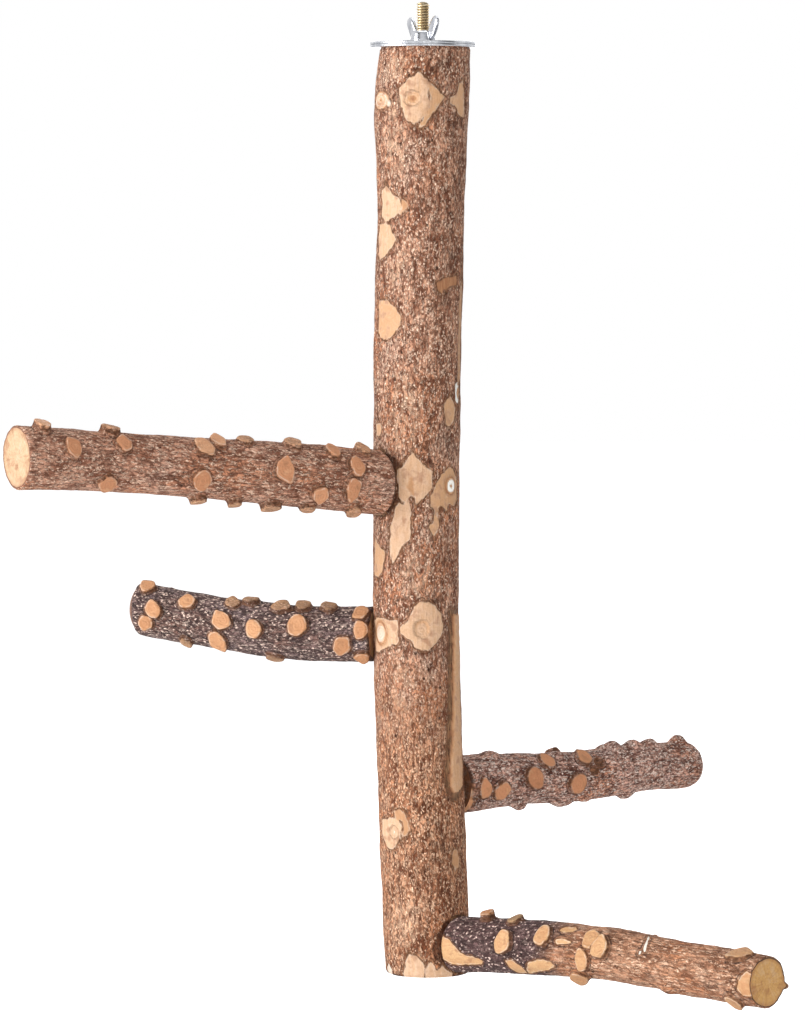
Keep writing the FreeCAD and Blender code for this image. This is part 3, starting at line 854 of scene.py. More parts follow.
@dataclass
class Limb:
    """A length of barked wood with sawn ends."""

    node: str
    body: str
    slot: str
    place: Matrix
    spine: Spine
    bore: Bore
    finish: WoodFinish
    cell: float
    lumps: float
    ripples: float
    seed: int
    patches: Sequence[Patch] = ()
    prickles: Sequence[Knob] = ()
    stains_and_shade: Sequence[StainAndShade] = ()
    slant: Pair = (0.0, 0.0)
    tip_round: float = 0.6
    dome: float = 0.0

    def build(self) -> Object:
        """Model and dress the limb.

        Returns:
            The finished piece, riding on its body.
        """
        mesh = self._tube()
        self._shape(mesh)
        self._fit(mesh)
        mesh.transform(Matrix.Scale(MM, 4))
        mesh.materials.append(self.finish.bark(f"{self.slot}_finish"))
        mesh.materials.append(self.finish.sawn(f"{self.slot}_sawn"))
        return dressed(f"{self.node}_wood", mesh, self.body, self.node)

    def _tube(self) -> Mesh:
        """Make a straight tube with flat ends and its end bore.

        Returns:
            The mesh, along Z from 0, in mm.
        """
        radius, length = self.spine.nominal, self.spine.length
        tube = bmesh.new()
        bmesh.ops.create_cone(tube, cap_ends=True, segments=round(2 * math.pi * radius / self.cell),
                              radius1=radius, radius2=radius, depth=length)
        bmesh.ops.translate(tube, verts=tube.verts, vec=(0, 0, length / 2))
        uprights = [edge for edge in tube.edges if abs(edge.verts[0].co.z - edge.verts[1].co.z) > length / 2]
        bmesh.ops.subdivide_edges(tube, edges=uprights, cuts=round(length / self.cell) - 1, use_grid_fill=True)
        for end in End:
            self._cap(tube, end)
        for face in tube.faces:
            out = face.calc_center_median().xy.length
            sawn = out < radius * SAWN_SHARE and abs(face.normal.z) > FLAT or out < radius * BORE_SHARE
            face.material_index = int(sawn)
        return filled(bpy.data.meshes.new(f"{self.node}_wood"), tube, WOOD_CREASE)

    def _cap(self, tube: BMesh, end: End) -> None:
        """Divide one flat end into rings, and sink the bore in it.

        Args:
            tube: The straight tube.
            end: Which end.
        """
        radius, level = self.spine.nominal, 0.0 if end is End.ROOT else self.spine.length
        cap = next(face for face in tube.faces if abs(face.normal.z) > FLAT
                   and abs(face.calc_center_median().z - level) < self.cell / 4)
        inner = self.bore.radius if self.bore.end is end else radius * CAP_CORE
        steps = max(FEWEST_RINGS, round((radius - inner) / CAP_RING))
        for _ in range(steps):
            bmesh.ops.inset_region(tube, faces=[cap], thickness=(radius - inner) / steps)
        if self.bore.end is end:
            cap = bmesh.ops.extrude_discrete_faces(tube, faces=[cap])["faces"][0]
            inward = self.bore.depth if end is End.ROOT else -self.bore.depth
            bmesh.ops.translate(tube, verts=cap.verts, vec=(0, 0, inward))
        bmesh.ops.poke(tube, faces=[cap])

    def _skin(self, theta: Array, along: Array) -> Skin:
        """Grow the bark with its patches, stains and prickles.

        Args:
            theta: Angle of each vertex round the limb, which prickles change.
            along: Its place along the limb, which prickles change.

        Returns:
            The surface.
        """
        skin = Skin(theta, along, self.spine.at(along)[0] / 2, self.spine.nominal)
        skin.roughen(self.lumps, self.ripples, float(self.seed))
        raggedness = skin.clouds(*FRAY_NOISE, self.seed + FRAY_SEED)
        for patch in self.patches:
            skin.lay(patch, raggedness)
        for stain_and_shade in self.stains_and_shade:
            skin.lay_stain_and_shade(stain_and_shade, raggedness)
        skin.ground = skin.radius.copy()
        chance = np.random.default_rng(self.seed)
        for knob in self.prickles:
            skin.grow(Prickle.grown(knob, chance), self.spine.length)
        return skin

    def _shape(self, mesh: Mesh) -> None:
        """Bend the tube, grow its bark and note what each vertex is.

        Args:
            mesh: The straight tube.
        """
        spots = np.empty(len(mesh.vertices) * 3)
        mesh.vertices.foreach_get("co", spots)
        across, up, along = spots.reshape(-1, 3).T.copy()
        length, nominal = self.spine.length, self.spine.nominal
        share = np.hypot(across, up) / nominal
        wall = share > WALL_SHARE
        skin = self._skin(np.arctan2(up, across), along)
        place = np.where(wall, np.clip(along, 0, length), along)
        corner = np.clip(1 - (length - place) / self.tip_round, 0, 1)
        radius = skin.radius - ROOT_BEVEL * eased(place, ROOT_SOFT, 0.0) * wall
        radius = radius - self.tip_round * (1 - np.sqrt(1 - corner ** 2)) * TIP_BEVEL
        at_bore = (place < length / 2) == (self.bore.end is End.ROOT)
        hole = np.where(at_bore, self.bore.radius / nominal, 0.0)
        fade = np.clip((share - hole) / (1 - hole), 0, 1)
        reach = share * (nominal * (1 - fade) + radius * fade)
        keep = np.where(at_bore, fade, 1.0)
        local_x, local_y = reach * np.cos(skin.theta), reach * np.sin(skin.theta)
        _, centre_x, centre_y = self.spine.at(place)
        capped = np.where(wall | (along < length / 2) | at_bore, 0.0, self.dome * (1 - share ** 2))
        slope = self.slant[0] * local_x + self.slant[1] * local_y
        level = place + capped + slope * eased(place, length * SLANT_FROM, length)
        placed = np.stack([local_x + centre_x * keep, local_y + centre_y * keep, level], axis=1)
        mesh.vertices.foreach_set("co", placed.ravel())
        notes = {"limb": (local_x, local_y, place), "mark": (skin.edge, skin.centre, skin.tone),
                 "stain_and_shade": (skin.dark, skin.pale_and_light, (1 - share) * nominal)}
        for name, values in notes.items():
            layer = mesh.attributes.new(name, "FLOAT_VECTOR", "POINT")
            layer.data.foreach_set("vector", np.stack(values, axis=1).ravel())
        mesh.transform(self.place)

    def _fit(self, mesh: Mesh) -> None:
        """Fit the limb to its neighbours: nothing to do for a perch."""


@dataclass(frozen=True)
class Seat:
    """Where a perch's flat root meets the trunk, with the painted shadow round its edge, and the hole for its insert,
    in mm.
    """

    place: Matrix
    radius: float
    bore_radius: float = 5.05
    bore_depth: float = 16.5
    bore_reach: float = 2.0
    sunk: float = 0.03
    pressed: Pair = (-1.0, 8.0)
    flush: float = -0.2
    centre: float = 3.0
    shadow_rim: float = 2.0
    tone: float = 0.6
    shadow: Pair = (-1.6, 5.0)
    shadow_level: Pair = (-7.0, 1.0)
    faint: float = 0.6
    deep: float = 1.6

    def shadow_and_stain(self, inside: float) -> float:
        """How dark the painted shadow of the perch's root is on the bark, at a distance in from the seat's edge."""
        return max(min(self.faint, (inside - self.shadow[0]) * 0.3), min(self.deep, (inside - 0.2) * 1.6))


@dataclass
class Trunk(Limb):
    """The upright trunk, with a flat seat and a hole for each perch."""

    seats: Sequence[Seat] = ()

    def _fit(self, mesh: Mesh) -> None:
        """Press the seats flat and drill the holes that take the inserts.

        Args:
            mesh: The shaped trunk, in mm.
        """
        wood = bmesh.new()
        wood.from_mesh(mesh)
        for seat in self.seats:
            self._press(wood, seat)
            self._drill(wood, seat)
        bmesh.ops.recalc_face_normals(wood, faces=wood.faces)
        wood.to_mesh(mesh)
        wood.free()

    def _press(self, wood: BMesh, seat: Seat) -> None:
        """Flatten the bark under a perch's root, and paint the shadow of its edge: a dark ring on the seat and painted
        shade on the bark around it.

        Args:
            wood: The trunk.
            seat: The seat.
        """
        inverse = seat.place.inverted()
        mark, stain_and_shade = wood.verts.layers.float_vector["mark"], wood.verts.layers.float_vector["stain_and_shade"]
        for vert in wood.verts:
            spot = inverse @ vert.co
            inside = seat.radius - spot.xy.length
            # painted shadow on the bark in the gap between the perch's root and the trunk
            if seat.shadow[0] < inside < seat.shadow[1] and seat.shadow_level[0] < spot.z < seat.shadow_level[1]:
                vert[stain_and_shade].x = max(vert[stain_and_shade].x, seat.shadow_and_stain(inside))
            if inside > 0 and seat.pressed[0] < spot.z < seat.pressed[1]:
                if spot.z > -seat.sunk:
                    spot.z = -seat.sunk
                    vert.co = seat.place @ spot
                if spot.z > seat.flush:
                    # a near-black ring just inside the seat's edge: painted shade where the root meets the trunk
                    vert[mark] = (inside, seat.centre, seat.tone if inside > seat.shadow_rim else 0.0)

    def _drill(self, wood: BMesh, seat: Seat) -> None:
        """Sink the hole for one insert.

        Args:
            wood: The trunk.
            seat: The seat.
        """
        inverse = seat.place.inverted()
        region = []
        for face in wood.faces:
            spot = inverse @ face.calc_center_median()
            if spot.xy.length < seat.bore_radius and abs(spot.z) < seat.bore_reach:
                region.append(face)
        chosen = set(region)
        rim = {vert for face in region for vert in face.verts if not chosen.issuperset(vert.link_faces)}
        for vert in rim:
            spot = inverse @ vert.co
            spot.xy = spot.xy.normalized() * seat.bore_radius
            vert.co = seat.place @ spot
        sunk = bmesh.ops.extrude_face_region(wood, geom=region)["geom"]
        for vert in (part for part in sunk if isinstance(part, BMVert)):
            spot = inverse @ vert.co
            spot.z = -seat.bore_depth
            vert.co = seat.place @ spot


METAL_CREASE = 0.6


def meshed(name: str, shape: BMesh, place: Matrix, material: Material) -> Mesh:
    """Turn a shape in mm into a smooth mesh in metres.

    Args:
        name: The mesh's name.
        shape: The shape, which is freed.
        place: Where it goes, in mm.
        material: Its material.

    Returns:
        The mesh.
    """
    bmesh.ops.recalc_face_normals(shape, faces=shape.faces)
    mesh = filled(bpy.data.meshes.new(name), shape, METAL_CREASE)
    mesh.transform(Matrix.Scale(MM, 4) @ place)
    mesh.materials.append(material)
    return mesh


def profile(shape: BMesh, corners: Sequence[Pair], closed: bool) -> list:
    """Draw a line of (radius, height) corners beside the Z axis.

    Args:
        shape: Where to draw.
        corners: The corners, in mm.
        closed: Whether the last corner joins the first.

    Returns:
        Its vertices and edges.
    """
    verts = [shape.verts.new((radius, 0, height)) for radius, height in corners]
    pairs = list(zip(verts, verts[1:])) + ([(verts[-1], verts[0])] if closed else [])
    return verts + [shape.edges.new(pair) for pair in pairs]


def spun(corners: Sequence[Pair], steps: int) -> BMesh:
    """Turn a closed line of (radius, height) corners about Z.

    Args:
        corners: The corners, in mm.
        steps: Sides of the turned shape.

    Returns:
        The shape.
    """
    shape = bmesh.new()
    bmesh.ops.spin(shape, geom=profile(shape, corners, True), cent=(0, 0, 0), axis=(0, 0, 1),
                   angle=2 * math.pi, steps=steps, use_merge=True)
    return shape


TOOTH = ((0, 0.0), (0, 0.14), (1, 0.5), (1, 0.64), (0, 1.0))  # root or crest, and share of the pitch


@dataclass(frozen=True)
class ThreadedRod:
    """A rod with a rolled thread and pointed ends, along Z, in mm."""

    node: str
    body: str
    place: Matrix
    low: float
    high: float
    low_point: float
    high_point: float
    radius: float = 3.175
    pitch: float = 1.27
    depth: float = 0.72
    tip: float = 0.3
    steps: int = 36
    weld: float = 0.01
    slot: str = "yellow_zinc"
    finish: MetalFinish = YELLOW_ZINC

    def build(self) -> Object:
        """Model and dress the rod.

        Returns:
            The finished piece.
        """
        rod = bmesh.new()
        tooth = [(self.radius if crest else self.radius - self.depth, self.pitch * share) for crest, share in TOOTH]
        turns = math.ceil((self.high - self.low) / self.pitch) + 2
        bmesh.ops.spin(rod, geom=profile(rod, tooth, False), cent=(0, 0, 0), axis=(0, 0, 1),
                       dvec=(0, 0, self.pitch / self.steps), angle=2 * math.pi * turns, steps=self.steps * turns)
        bmesh.ops.translate(rod, verts=rod.verts, vec=(0, 0, self.low - 2 * self.pitch))
        bmesh.ops.remove_doubles(rod, verts=rod.verts, dist=self.weld)
        for level, outward in ((self.low, -1), (self.high, 1)):
            bmesh.ops.bisect_plane(rod, geom=rod.verts[:] + rod.edges[:] + rod.faces[:], plane_co=(0, 0, level),
                                   plane_no=(0, 0, outward), clear_outer=True)
        for vert in rod.verts:
            room = min(1.0, (vert.co.z - self.low) / self.low_point, (self.high - vert.co.z) / self.high_point)
            limit = self.radius * (self.tip + (1 - self.tip) * max(room, 0.0)) if room < 1 else self.radius
            if vert.co.xy.length > limit:
                vert.co.xy = vert.co.xy.normalized() * limit
        bmesh.ops.holes_fill(rod, edges=[edge for edge in rod.edges if edge.is_boundary])
        groove = rod.verts.layers.float_vector.new("groove")
        for vert in rod.verts:
            vert[groove] = ((self.radius - vert.co.xy.length) / self.depth, 0, 0)
        mesh = meshed(f"{self.node}_thread", rod, self.place, self.finish.material(f"{self.node}_finish"))
        return dressed(f"{self.node}_thread", mesh, self.body, self.node)


@dataclass(frozen=True)
class Washer:
    """A broad stamped washer, in mm."""

    node: str
    body: str
    base: float
    radius: float = 25.4
    hole: float = 3.55
    gauge: float = 1.3
    round_edge: float = 0.28
    corner: float = 0.3
    steps: int = 160
    slot: str = "bright_zinc"
    finish: MetalFinish = WASHER_ZINC

    def build(self) -> Object:
        """Model and dress the washer.

        Returns:
            The finished piece.
        """
        low, high, soft = self.base, self.base + self.gauge, self.round_edge
        inset, cut = self.radius - soft, soft * self.corner
        shape = spun([(self.hole, low), (inset, low), (self.radius - cut, low + cut), (self.radius, low + soft),
                      (self.radius, high - soft), (self.radius - cut, high - cut), (inset, high),
                      (self.hole + soft, high), (self.hole, high - soft)], self.steps)
        mesh = meshed(f"{self.node}_disc", shape, Matrix.Identity(4), self.finish.material(f"{self.node}_finish"))
        return dressed(f"{self.node}_disc", mesh, self.body, self.node)


@dataclass(frozen=True)
class WingNut:
    """A cast wing nut: a tapered hub with two ears that lean outwards, in mm."""

    base: float = 1.3
    turn: float = -56.0
    bore: float = ROD_BORE
    foot: float = 6.2
    foot_edge: float = 0.3
    foot_band: float = 1.0
    crown: float = 4.8
    crown_edge: float = 0.5
    crown_drop: float = 1.0
    height: float = 5.6
    hub_steps: int = 96
    ear_half: tuple[float, float, float] = (3.0, 1.3, 6.3)
    ear_power: tuple[float, float, float] = (0.75, 0.8, 0.7)
    ear_steps: tuple[int, int] = (40, 24)
    ear_lean: float = 31.0
    ear_reach: float = 8.55
    ear_level: float = 6.55
    voxel: float = 0.2
    smoothings: int = 4
    slot: str = "bright_zinc"
    finish: MetalFinish = ZINC

    def build(self) -> Object:
        """Model and dress the nut.

        Returns:
            The finished piece.
        """
        nut = spun([(self.bore, 0), (self.foot - self.foot_edge, 0), (self.foot, self.foot_edge),
                    (self.foot, self.foot_band), (self.crown + self.crown_edge, self.height - self.crown_drop),
                    (self.crown - self.crown_edge, self.height), (self.bore, self.height)], self.hub_steps)
        for side in (1, -1):
            self._ear(nut, side)
        place = Matrix.Translation((0, 0, self.base)) @ Matrix.Rotation(math.radians(self.turn), 4, "Z")
        mesh = meshed("wing_nut_cast", nut, place, self.finish.material("wing_nut_finish"))
        return dressed("wing_nut_cast", self._joined(mesh), "wing_nut", "wing_nut")

    def _ear(self, nut: BMesh, side: int) -> None:
        """Add one ear: a ball drawn out to a rounded slab that leans outwards.

        Args:
            nut: The nut so far.
            side: 1 or -1 for the two ears.
        """
        around, upward = self.ear_steps
        ball = bmesh.ops.create_uvsphere(nut, u_segments=around, v_segments=upward, radius=1.0)["verts"]
        for vert in ball:
            vert.co = [math.copysign(abs(part) ** power, part) for part, power in zip(vert.co, self.ear_power)]
        lean = Matrix.Rotation(math.radians(self.ear_lean) * side, 4, "Y")
        place = Matrix.Translation((self.ear_reach * side, 0, self.ear_level))
        bmesh.ops.transform(nut, verts=ball, matrix=place @ lean @ Matrix.Diagonal((*self.ear_half, 1)))

    def _joined(self, mesh: Mesh) -> Mesh:
        """Melt hub and ears into one casting.

        Args:
            mesh: The overlapping parts.

        Returns:
            One closed skin.
        """
        rough = added("wing_nut_parts", mesh)
        remesh = rough.modifiers.new("cast", "REMESH")
        remesh.mode = "VOXEL"
        remesh.voxel_size = self.voxel * MM
        whole = bpy.data.meshes.new_from_object(rough.evaluated_get(bpy.context.evaluated_depsgraph_get()))
        bpy.data.objects.remove(rough)
        skin = bmesh.new()
        skin.from_mesh(whole)
        for _ in range(self.smoothings):
            bmesh.ops.smooth_vert(skin, verts=skin.verts, factor=0.5, use_axis_x=True, use_axis_y=True, use_axis_z=True)
        return filled(whole, skin, math.pi)


# Dark, middle and pale colour, the flecks' size, length and number, the pale lines and the cracks
BARK_TRUNK = BarkTone(srgb(132, 80, 57), srgb(205, 153, 124), srgb(250, 216, 190), 1.15, 1.5, 0.62, 0.5)
BARK_TRUNK_LOW = BarkTone(srgb(126, 72, 46), srgb(204, 148, 113), srgb(252, 210, 176), 1.1, 1.6, 0.62, 0.5)
BARK_UPPER_LEFT = BarkTone(srgb(146, 94, 72), srgb(210, 158, 132), srgb(252, 216, 190), 1.15, 2.0, 0.5, 0.65, 0.95)
BARK_LOWER_LEFT = BarkTone(srgb(78, 58, 56), srgb(130, 106, 103), srgb(244, 216, 200), 1.15, 1.7, 0.62, 0.35)
BARK_UPPER_RIGHT = BarkTone(srgb(114, 71, 58), srgb(220, 172, 153), srgb(255, 232, 218), 1.15, 1.5, 0.55, 0.65)
BARK_LOWER_RIGHT_ROOT = BarkTone(srgb(76, 52, 50), srgb(110, 84, 82), srgb(242, 212, 198), 1.35, 1.4, 0.5, 0.12)
BARK_LOWER_RIGHT_TIP = BarkTone(srgb(132, 85, 60), srgb(194, 143, 112), srgb(236, 194, 164), 1.3, 3.0, 0.5, 0.7, 0.75)
TRUNK_ORANGE = srgb(192, 146, 106)
TRUNK_TAN = srgb(208, 173, 144)


def typical(*places: Pair) -> tuple[Knob, ...]:
    """Prickles of the usual size, at shares of the length and angles that the photo doesn't show."""
    return tuple(Knob(share, angle, tone=0.3 + (number * 5 % 7) / 22) for number, (share, angle) in enumerate(places))


@dataclass(frozen=True)
class PerchPlan:
    """One perch's own sizes, as its solid has them, and its looks."""

    side: str
    azimuth: float
    length: float
    girth: Sequence[float]
    rise: Sequence[float]
    sway: Sequence[float]
    knobs: Sequence[Knob]
    root_bark: BarkTone
    tip_bark: BarkTone
    end_root: Colour
    end_tip: Colour
    orange: Colour
    tan: Colour
    turn: float = 0.0
    patches: Sequence[Patch] = ()
    slant: Pair = (0.0, 0.0)
    tip_round: float = 0.6
    dome: float = 0.0
    crisp: float = 0.15

    def finish(self) -> WoodFinish:
        """The perch's wood and bark."""
        return WoodFinish(self.root_bark, self.tip_bark, self.orange, self.tan, self.end_root, self.end_tip, self.turn,
                          blend=9.0, middle=self.length / 2, fray=0.4, crisp=self.crisp, outline=0.3)


PERCHES = (
    PerchPlan(
        "upper_left", azimuth=211.0, length=193.0, girth=(31.0, 30.2, 28.4, 27.6, 29.2),
        rise=(0.0, 5.2, 9.6, 13.8, 17.2), sway=(0.0, 0.4, 0.0, -0.5, 0.0),
        knobs=(
            Knob(0.948, 68, 4.3, 4.0, 0.6), Knob(0.885, 23, 4.2, 2.6, 0.3), barked(0.758, 79, 4.4, 3.4),
            Knob(0.745, 35, 4.0, 2.8, 0.34), Knob(0.787, -41, 4.2, 2.2, 0.3), Knob(0.525, 42, 4.6, 2.2, 0.62),
            Knob(0.478, 62, 4.0, 2.2, 0.62), Knob(0.545, -21, 5.0, 2.8, 0.34), barked(0.398, 72, 3.8, 1.9),
            Knob(0.32, 10, 4.8, 2.6, 0.36), barked(0.27, 66, 4.2, 2.6), Knob(0.166, 54, 4.0, 2.4, 0.42),
            barked(0.072, 68, 3.8, 2.6), Knob(0.113, 24, 4.0, 2.6, 0.38), Knob(0.13, -15, 4.4, 2.8, 0.36),
            Knob(0.215, -31, 4.0, 2.4, 0.42), barked(0.524, -73, 3.6, 2.9), barked(0.427, -74, 3.4, 2.9),
            barked(0.32, -76, 4.6, 3.0), barked(0.226, -72, 3.6, 2.4), barked(0.098, -66, 3.8, 2.5),
            *typical((0.91, 170), (0.83, 142), (0.66, 200), (0.6, 140), (0.57, 216), (0.44, 165), (0.35, 213),
                     (0.24, 150), (0.13, 195), (0.05, 140), (0.89, 217))),
        root_bark=BARK_UPPER_LEFT, tip_bark=BARK_UPPER_LEFT,
        end_root=srgb(180, 140, 100), end_tip=srgb(200, 168, 134),
        orange=srgb(195, 136, 99), tan=srgb(216, 166, 128)),
    PerchPlan(
        "lower_left", azimuth=165.0, length=120.5, girth=(26.8, 26.6, 26.2, 25.2, 25.6),
        rise=(0.0, -0.4, 1.4, 5.4, 9.4), sway=(0.0, 0.3, 0.8, 0.4, 0.0),
        knobs=(
            Knob(0.945, 64, 3.8, 2.2, 0.5), Knob(0.902, 12, 4.0, 1.8, 0.5), Knob(0.935, -19, 3.6, 1.8, 0.46),
            Knob(0.765, 41, 4.0, 1.8, 0.52), Knob(0.61, 13, 4.3, 1.9, 0.54), barked(0.582, 62, 3.6, 1.5),
            barked(0.512, 76, 3.6, 2.2), Knob(0.475, 6, 4.3, 2.0, 0.58), barked(0.378, 63, 3.8, 2.2),
            barked(0.292, 72, 3.8, 2.4), barked(0.186, 72, 4.0, 2.0), Knob(0.297, 17, 4.9, 2.2, 0.5),
            Knob(0.04, 50, 3.8, 1.9, 0.5), Knob(0.03, 12, 3.8, 2.0, 0.46), Knob(0.11, -18, 4.4, 1.8, 0.42),
            Knob(0.633, -32, 4.4, 1.8, 0.52), barked(0.778, -60, 3.6, 1.8), barked(0.405, -64, 4.0, 2.0),
            Knob(0.035, -48, 3.6, 1.8, 0.44),
            *typical((0.88, 150), (0.72, 180), (0.6, 212), (0.48, 150), (0.38, 195), (0.25, 160), (0.16, 214),
                     (0.73, 217))),
        root_bark=BARK_LOWER_LEFT, tip_bark=BARK_LOWER_LEFT,
        end_root=srgb(170, 124, 84), end_tip=srgb(120, 94, 84),
        orange=srgb(178, 124, 86), tan=srgb(206, 158, 117), tip_round=3.0, dome=3.6),
    PerchPlan(
        "upper_right", azimuth=38.0, length=155.0, girth=(28.8, 25.4, 25.0, 24.2, 22.8),
        rise=(0.0, -0.4, -2.0, -0.6, -1.4), sway=(0.0, 0.4, 0.6, 0.0, -0.8),
        knobs=(
            domed(0.13, 108, 5.2, 2.4), Knob(0.048, 184, 3.9, 1.8, 0.42), Knob(0.122, 193, 4.4, 1.9, 0.42),
            Knob(0.258, 173, 4.8, 2.0, 0.28), Knob(0.438, 187, 5.0, 2.0, 0.36), Knob(0.333, 136, 4.2, 1.6, 0.44),
            Knob(0.49, 131, 4.4, 1.6, 0.44), domed(0.403, 112, 4.2, 1.6), domed(0.643, 100, 5.0, 3.2),
            domed(0.726, 103, 4.6, 2.8), domed(0.8, 101, 4.4, 2.6), domed(0.925, 94, 4.0, 3.8),
            domed(0.238, 243, 4.2, 3.0), domed(0.417, 248, 5.4, 2.4), domed(0.506, 233, 3.8, 1.8),
            domed(0.688, 254, 4.2, 2.6),
            *typical((0.88, 30), (0.76, -20), (0.66, 40), (0.55, -5), (0.45, 50), (0.36, -30), (0.25, 20),
                     (0.14, 30), (0.86, -38))),
        root_bark=BARK_UPPER_RIGHT, tip_bark=BARK_UPPER_RIGHT,
        # the sawn root face, which faces the trunk, is painted dark brown: painted shade
        end_root=srgb(92, 58, 38), end_tip=srgb(190, 140, 116),
        orange=srgb(190, 130, 93), tan=srgb(204, 154, 112),
        patches=(Patch(84.9, 143, 2.6, 2.6, 0.0, 2.0, -1.4, 0.3), Patch(80.2, 160, 2.2, 2.4, 0.02, 2.0, -1.2, 0.3),
                 Patch(0.8, 224, 8.5, 2.2, 0.5)),
        tip_round=8.0, dome=2.5, crisp=0.9),
    PerchPlan(
        "lower_right", azimuth=-41.0, length=189.0, girth=(26.8, 25.8, 24.4, 24.2, 24.0),
        rise=(0.0, 3.2, 5.2, 3.8, 3.4), sway=(0.0, 0.3, -0.6, -3.2, -7.0),
        knobs=(
            Knob(0.11, 101, 3.0, 4.0, 0.36), Knob(0.203, 163, 4.8, 2.0, 0.6), barked(0.203, 106, 3.4, 2.0),
            Knob(0.325, 145, 4.6, 2.0, 0.56), Knob(0.478, 142, 4.4, 2.0, 0.56), Knob(0.515, 159, 4.6, 2.3, 0.58),
            Knob(0.458, 187, 4.6, 1.6, 0.54), Knob(0.427, 236, 4.8, 2.4, 0.46), Knob(0.936, 108, 4.8, 1.8, 0.52),
            Knob(0.932, 232, 4.8, 1.6, 0.5), domed(0.708, 234, 4.6, 1.4), domed(0.994, -14, 1.6, 3.4),
            *typical((0.9, 8), (0.81, 20), (0.7, -25), (0.59, 24), (0.52, -35), (0.45, 20), (0.34, -10), (0.26, 26),
                     (0.17, -35), (0.08, 30))),
        root_bark=BARK_LOWER_RIGHT_ROOT, tip_bark=BARK_LOWER_RIGHT_TIP,
        end_root=srgb(170, 128, 86), end_tip=srgb(194, 150, 92),
        orange=srgb(174, 121, 82), tan=srgb(202, 162, 118), turn=66.0,
        patches=(
            Patch.drawn(0.66, ((0.9, 156), (5.7, 164), (8.7, 176), (11.1, 188), (15.6, 196), (21.5, 200), (25.3, 207),
                               (22.9, 218), (16.1, 219), (8.7, 219), (3.5, 215), (-2, 203), (-2, 186), (-2, 165))),
            Patch.drawn(0.6, ((39, 204), (42.8, 202), (45.4, 208), (47.2, 218), (47.7, 241), (41.6, 253), (39.7, 221))),
            Patch.drawn(0.62, ((52, 209), (56.2, 200), (61.9, 197), (66.6, 198), (68.7, 210), (63.8, 223), (56.9, 233),
                               (48.4, 246), (49.1, 232))),
            Patch.drawn(0.64, ((68.7, 125), (70.2, 111), (75.4, 109), (77.7, 116), (76.3, 127), (71.3, 130))),
            Patch.drawn(0.7, ((68.7, 151), (71.3, 146), (75.1, 147), (77.5, 153), (74.2, 159), (70.6, 160))),
            Patch.drawn(0.97, ((118.5, 98), (121.3, 112), (122.3, 132), (123.8, 150), (122.6, 150), (121.2, 133),
                              (120.2, 114)), 0.0, 0.5),
            Patch.drawn(0.97, ((119.6, 149), (121, 148), (121.2, 156), (120, 158)), 0.0, 0.3),
            Patch.drawn(0.5, ((186, 152), (190, 158), (190, 207), (184, 210), (181.5, 194), (183, 170)))),
        slant=(0.13, 0.0)),
)

SEAT_CUT = 0.6
SEAT_MARGIN = 1.2
PERCH_SPACING = 74.0
FIRST_PERCH = 207.5
TRUNK_LENGTH = 445.0
CROWN_LEVEL = -1.3
# Girth and the centre's two offsets at depths below the trunk's top
TRUNK_RINGS = {
    0.0: (43.0, 1.0, 0.0), 25.0: (45.4, -0.7, 0.3), 60.0: (42.4, -0.8, 0.6), 130.0: (42.0, -2.3, 0.8),
    207.5: (41.4, -3.2, 0.2), 281.5: (41.4, -3.3, -0.6), 355.5: (41.8, -0.9, -0.8), 429.5: (41.2, 1.8, -0.3),
    445.0: (41.0, 2.3, 0.0),
}
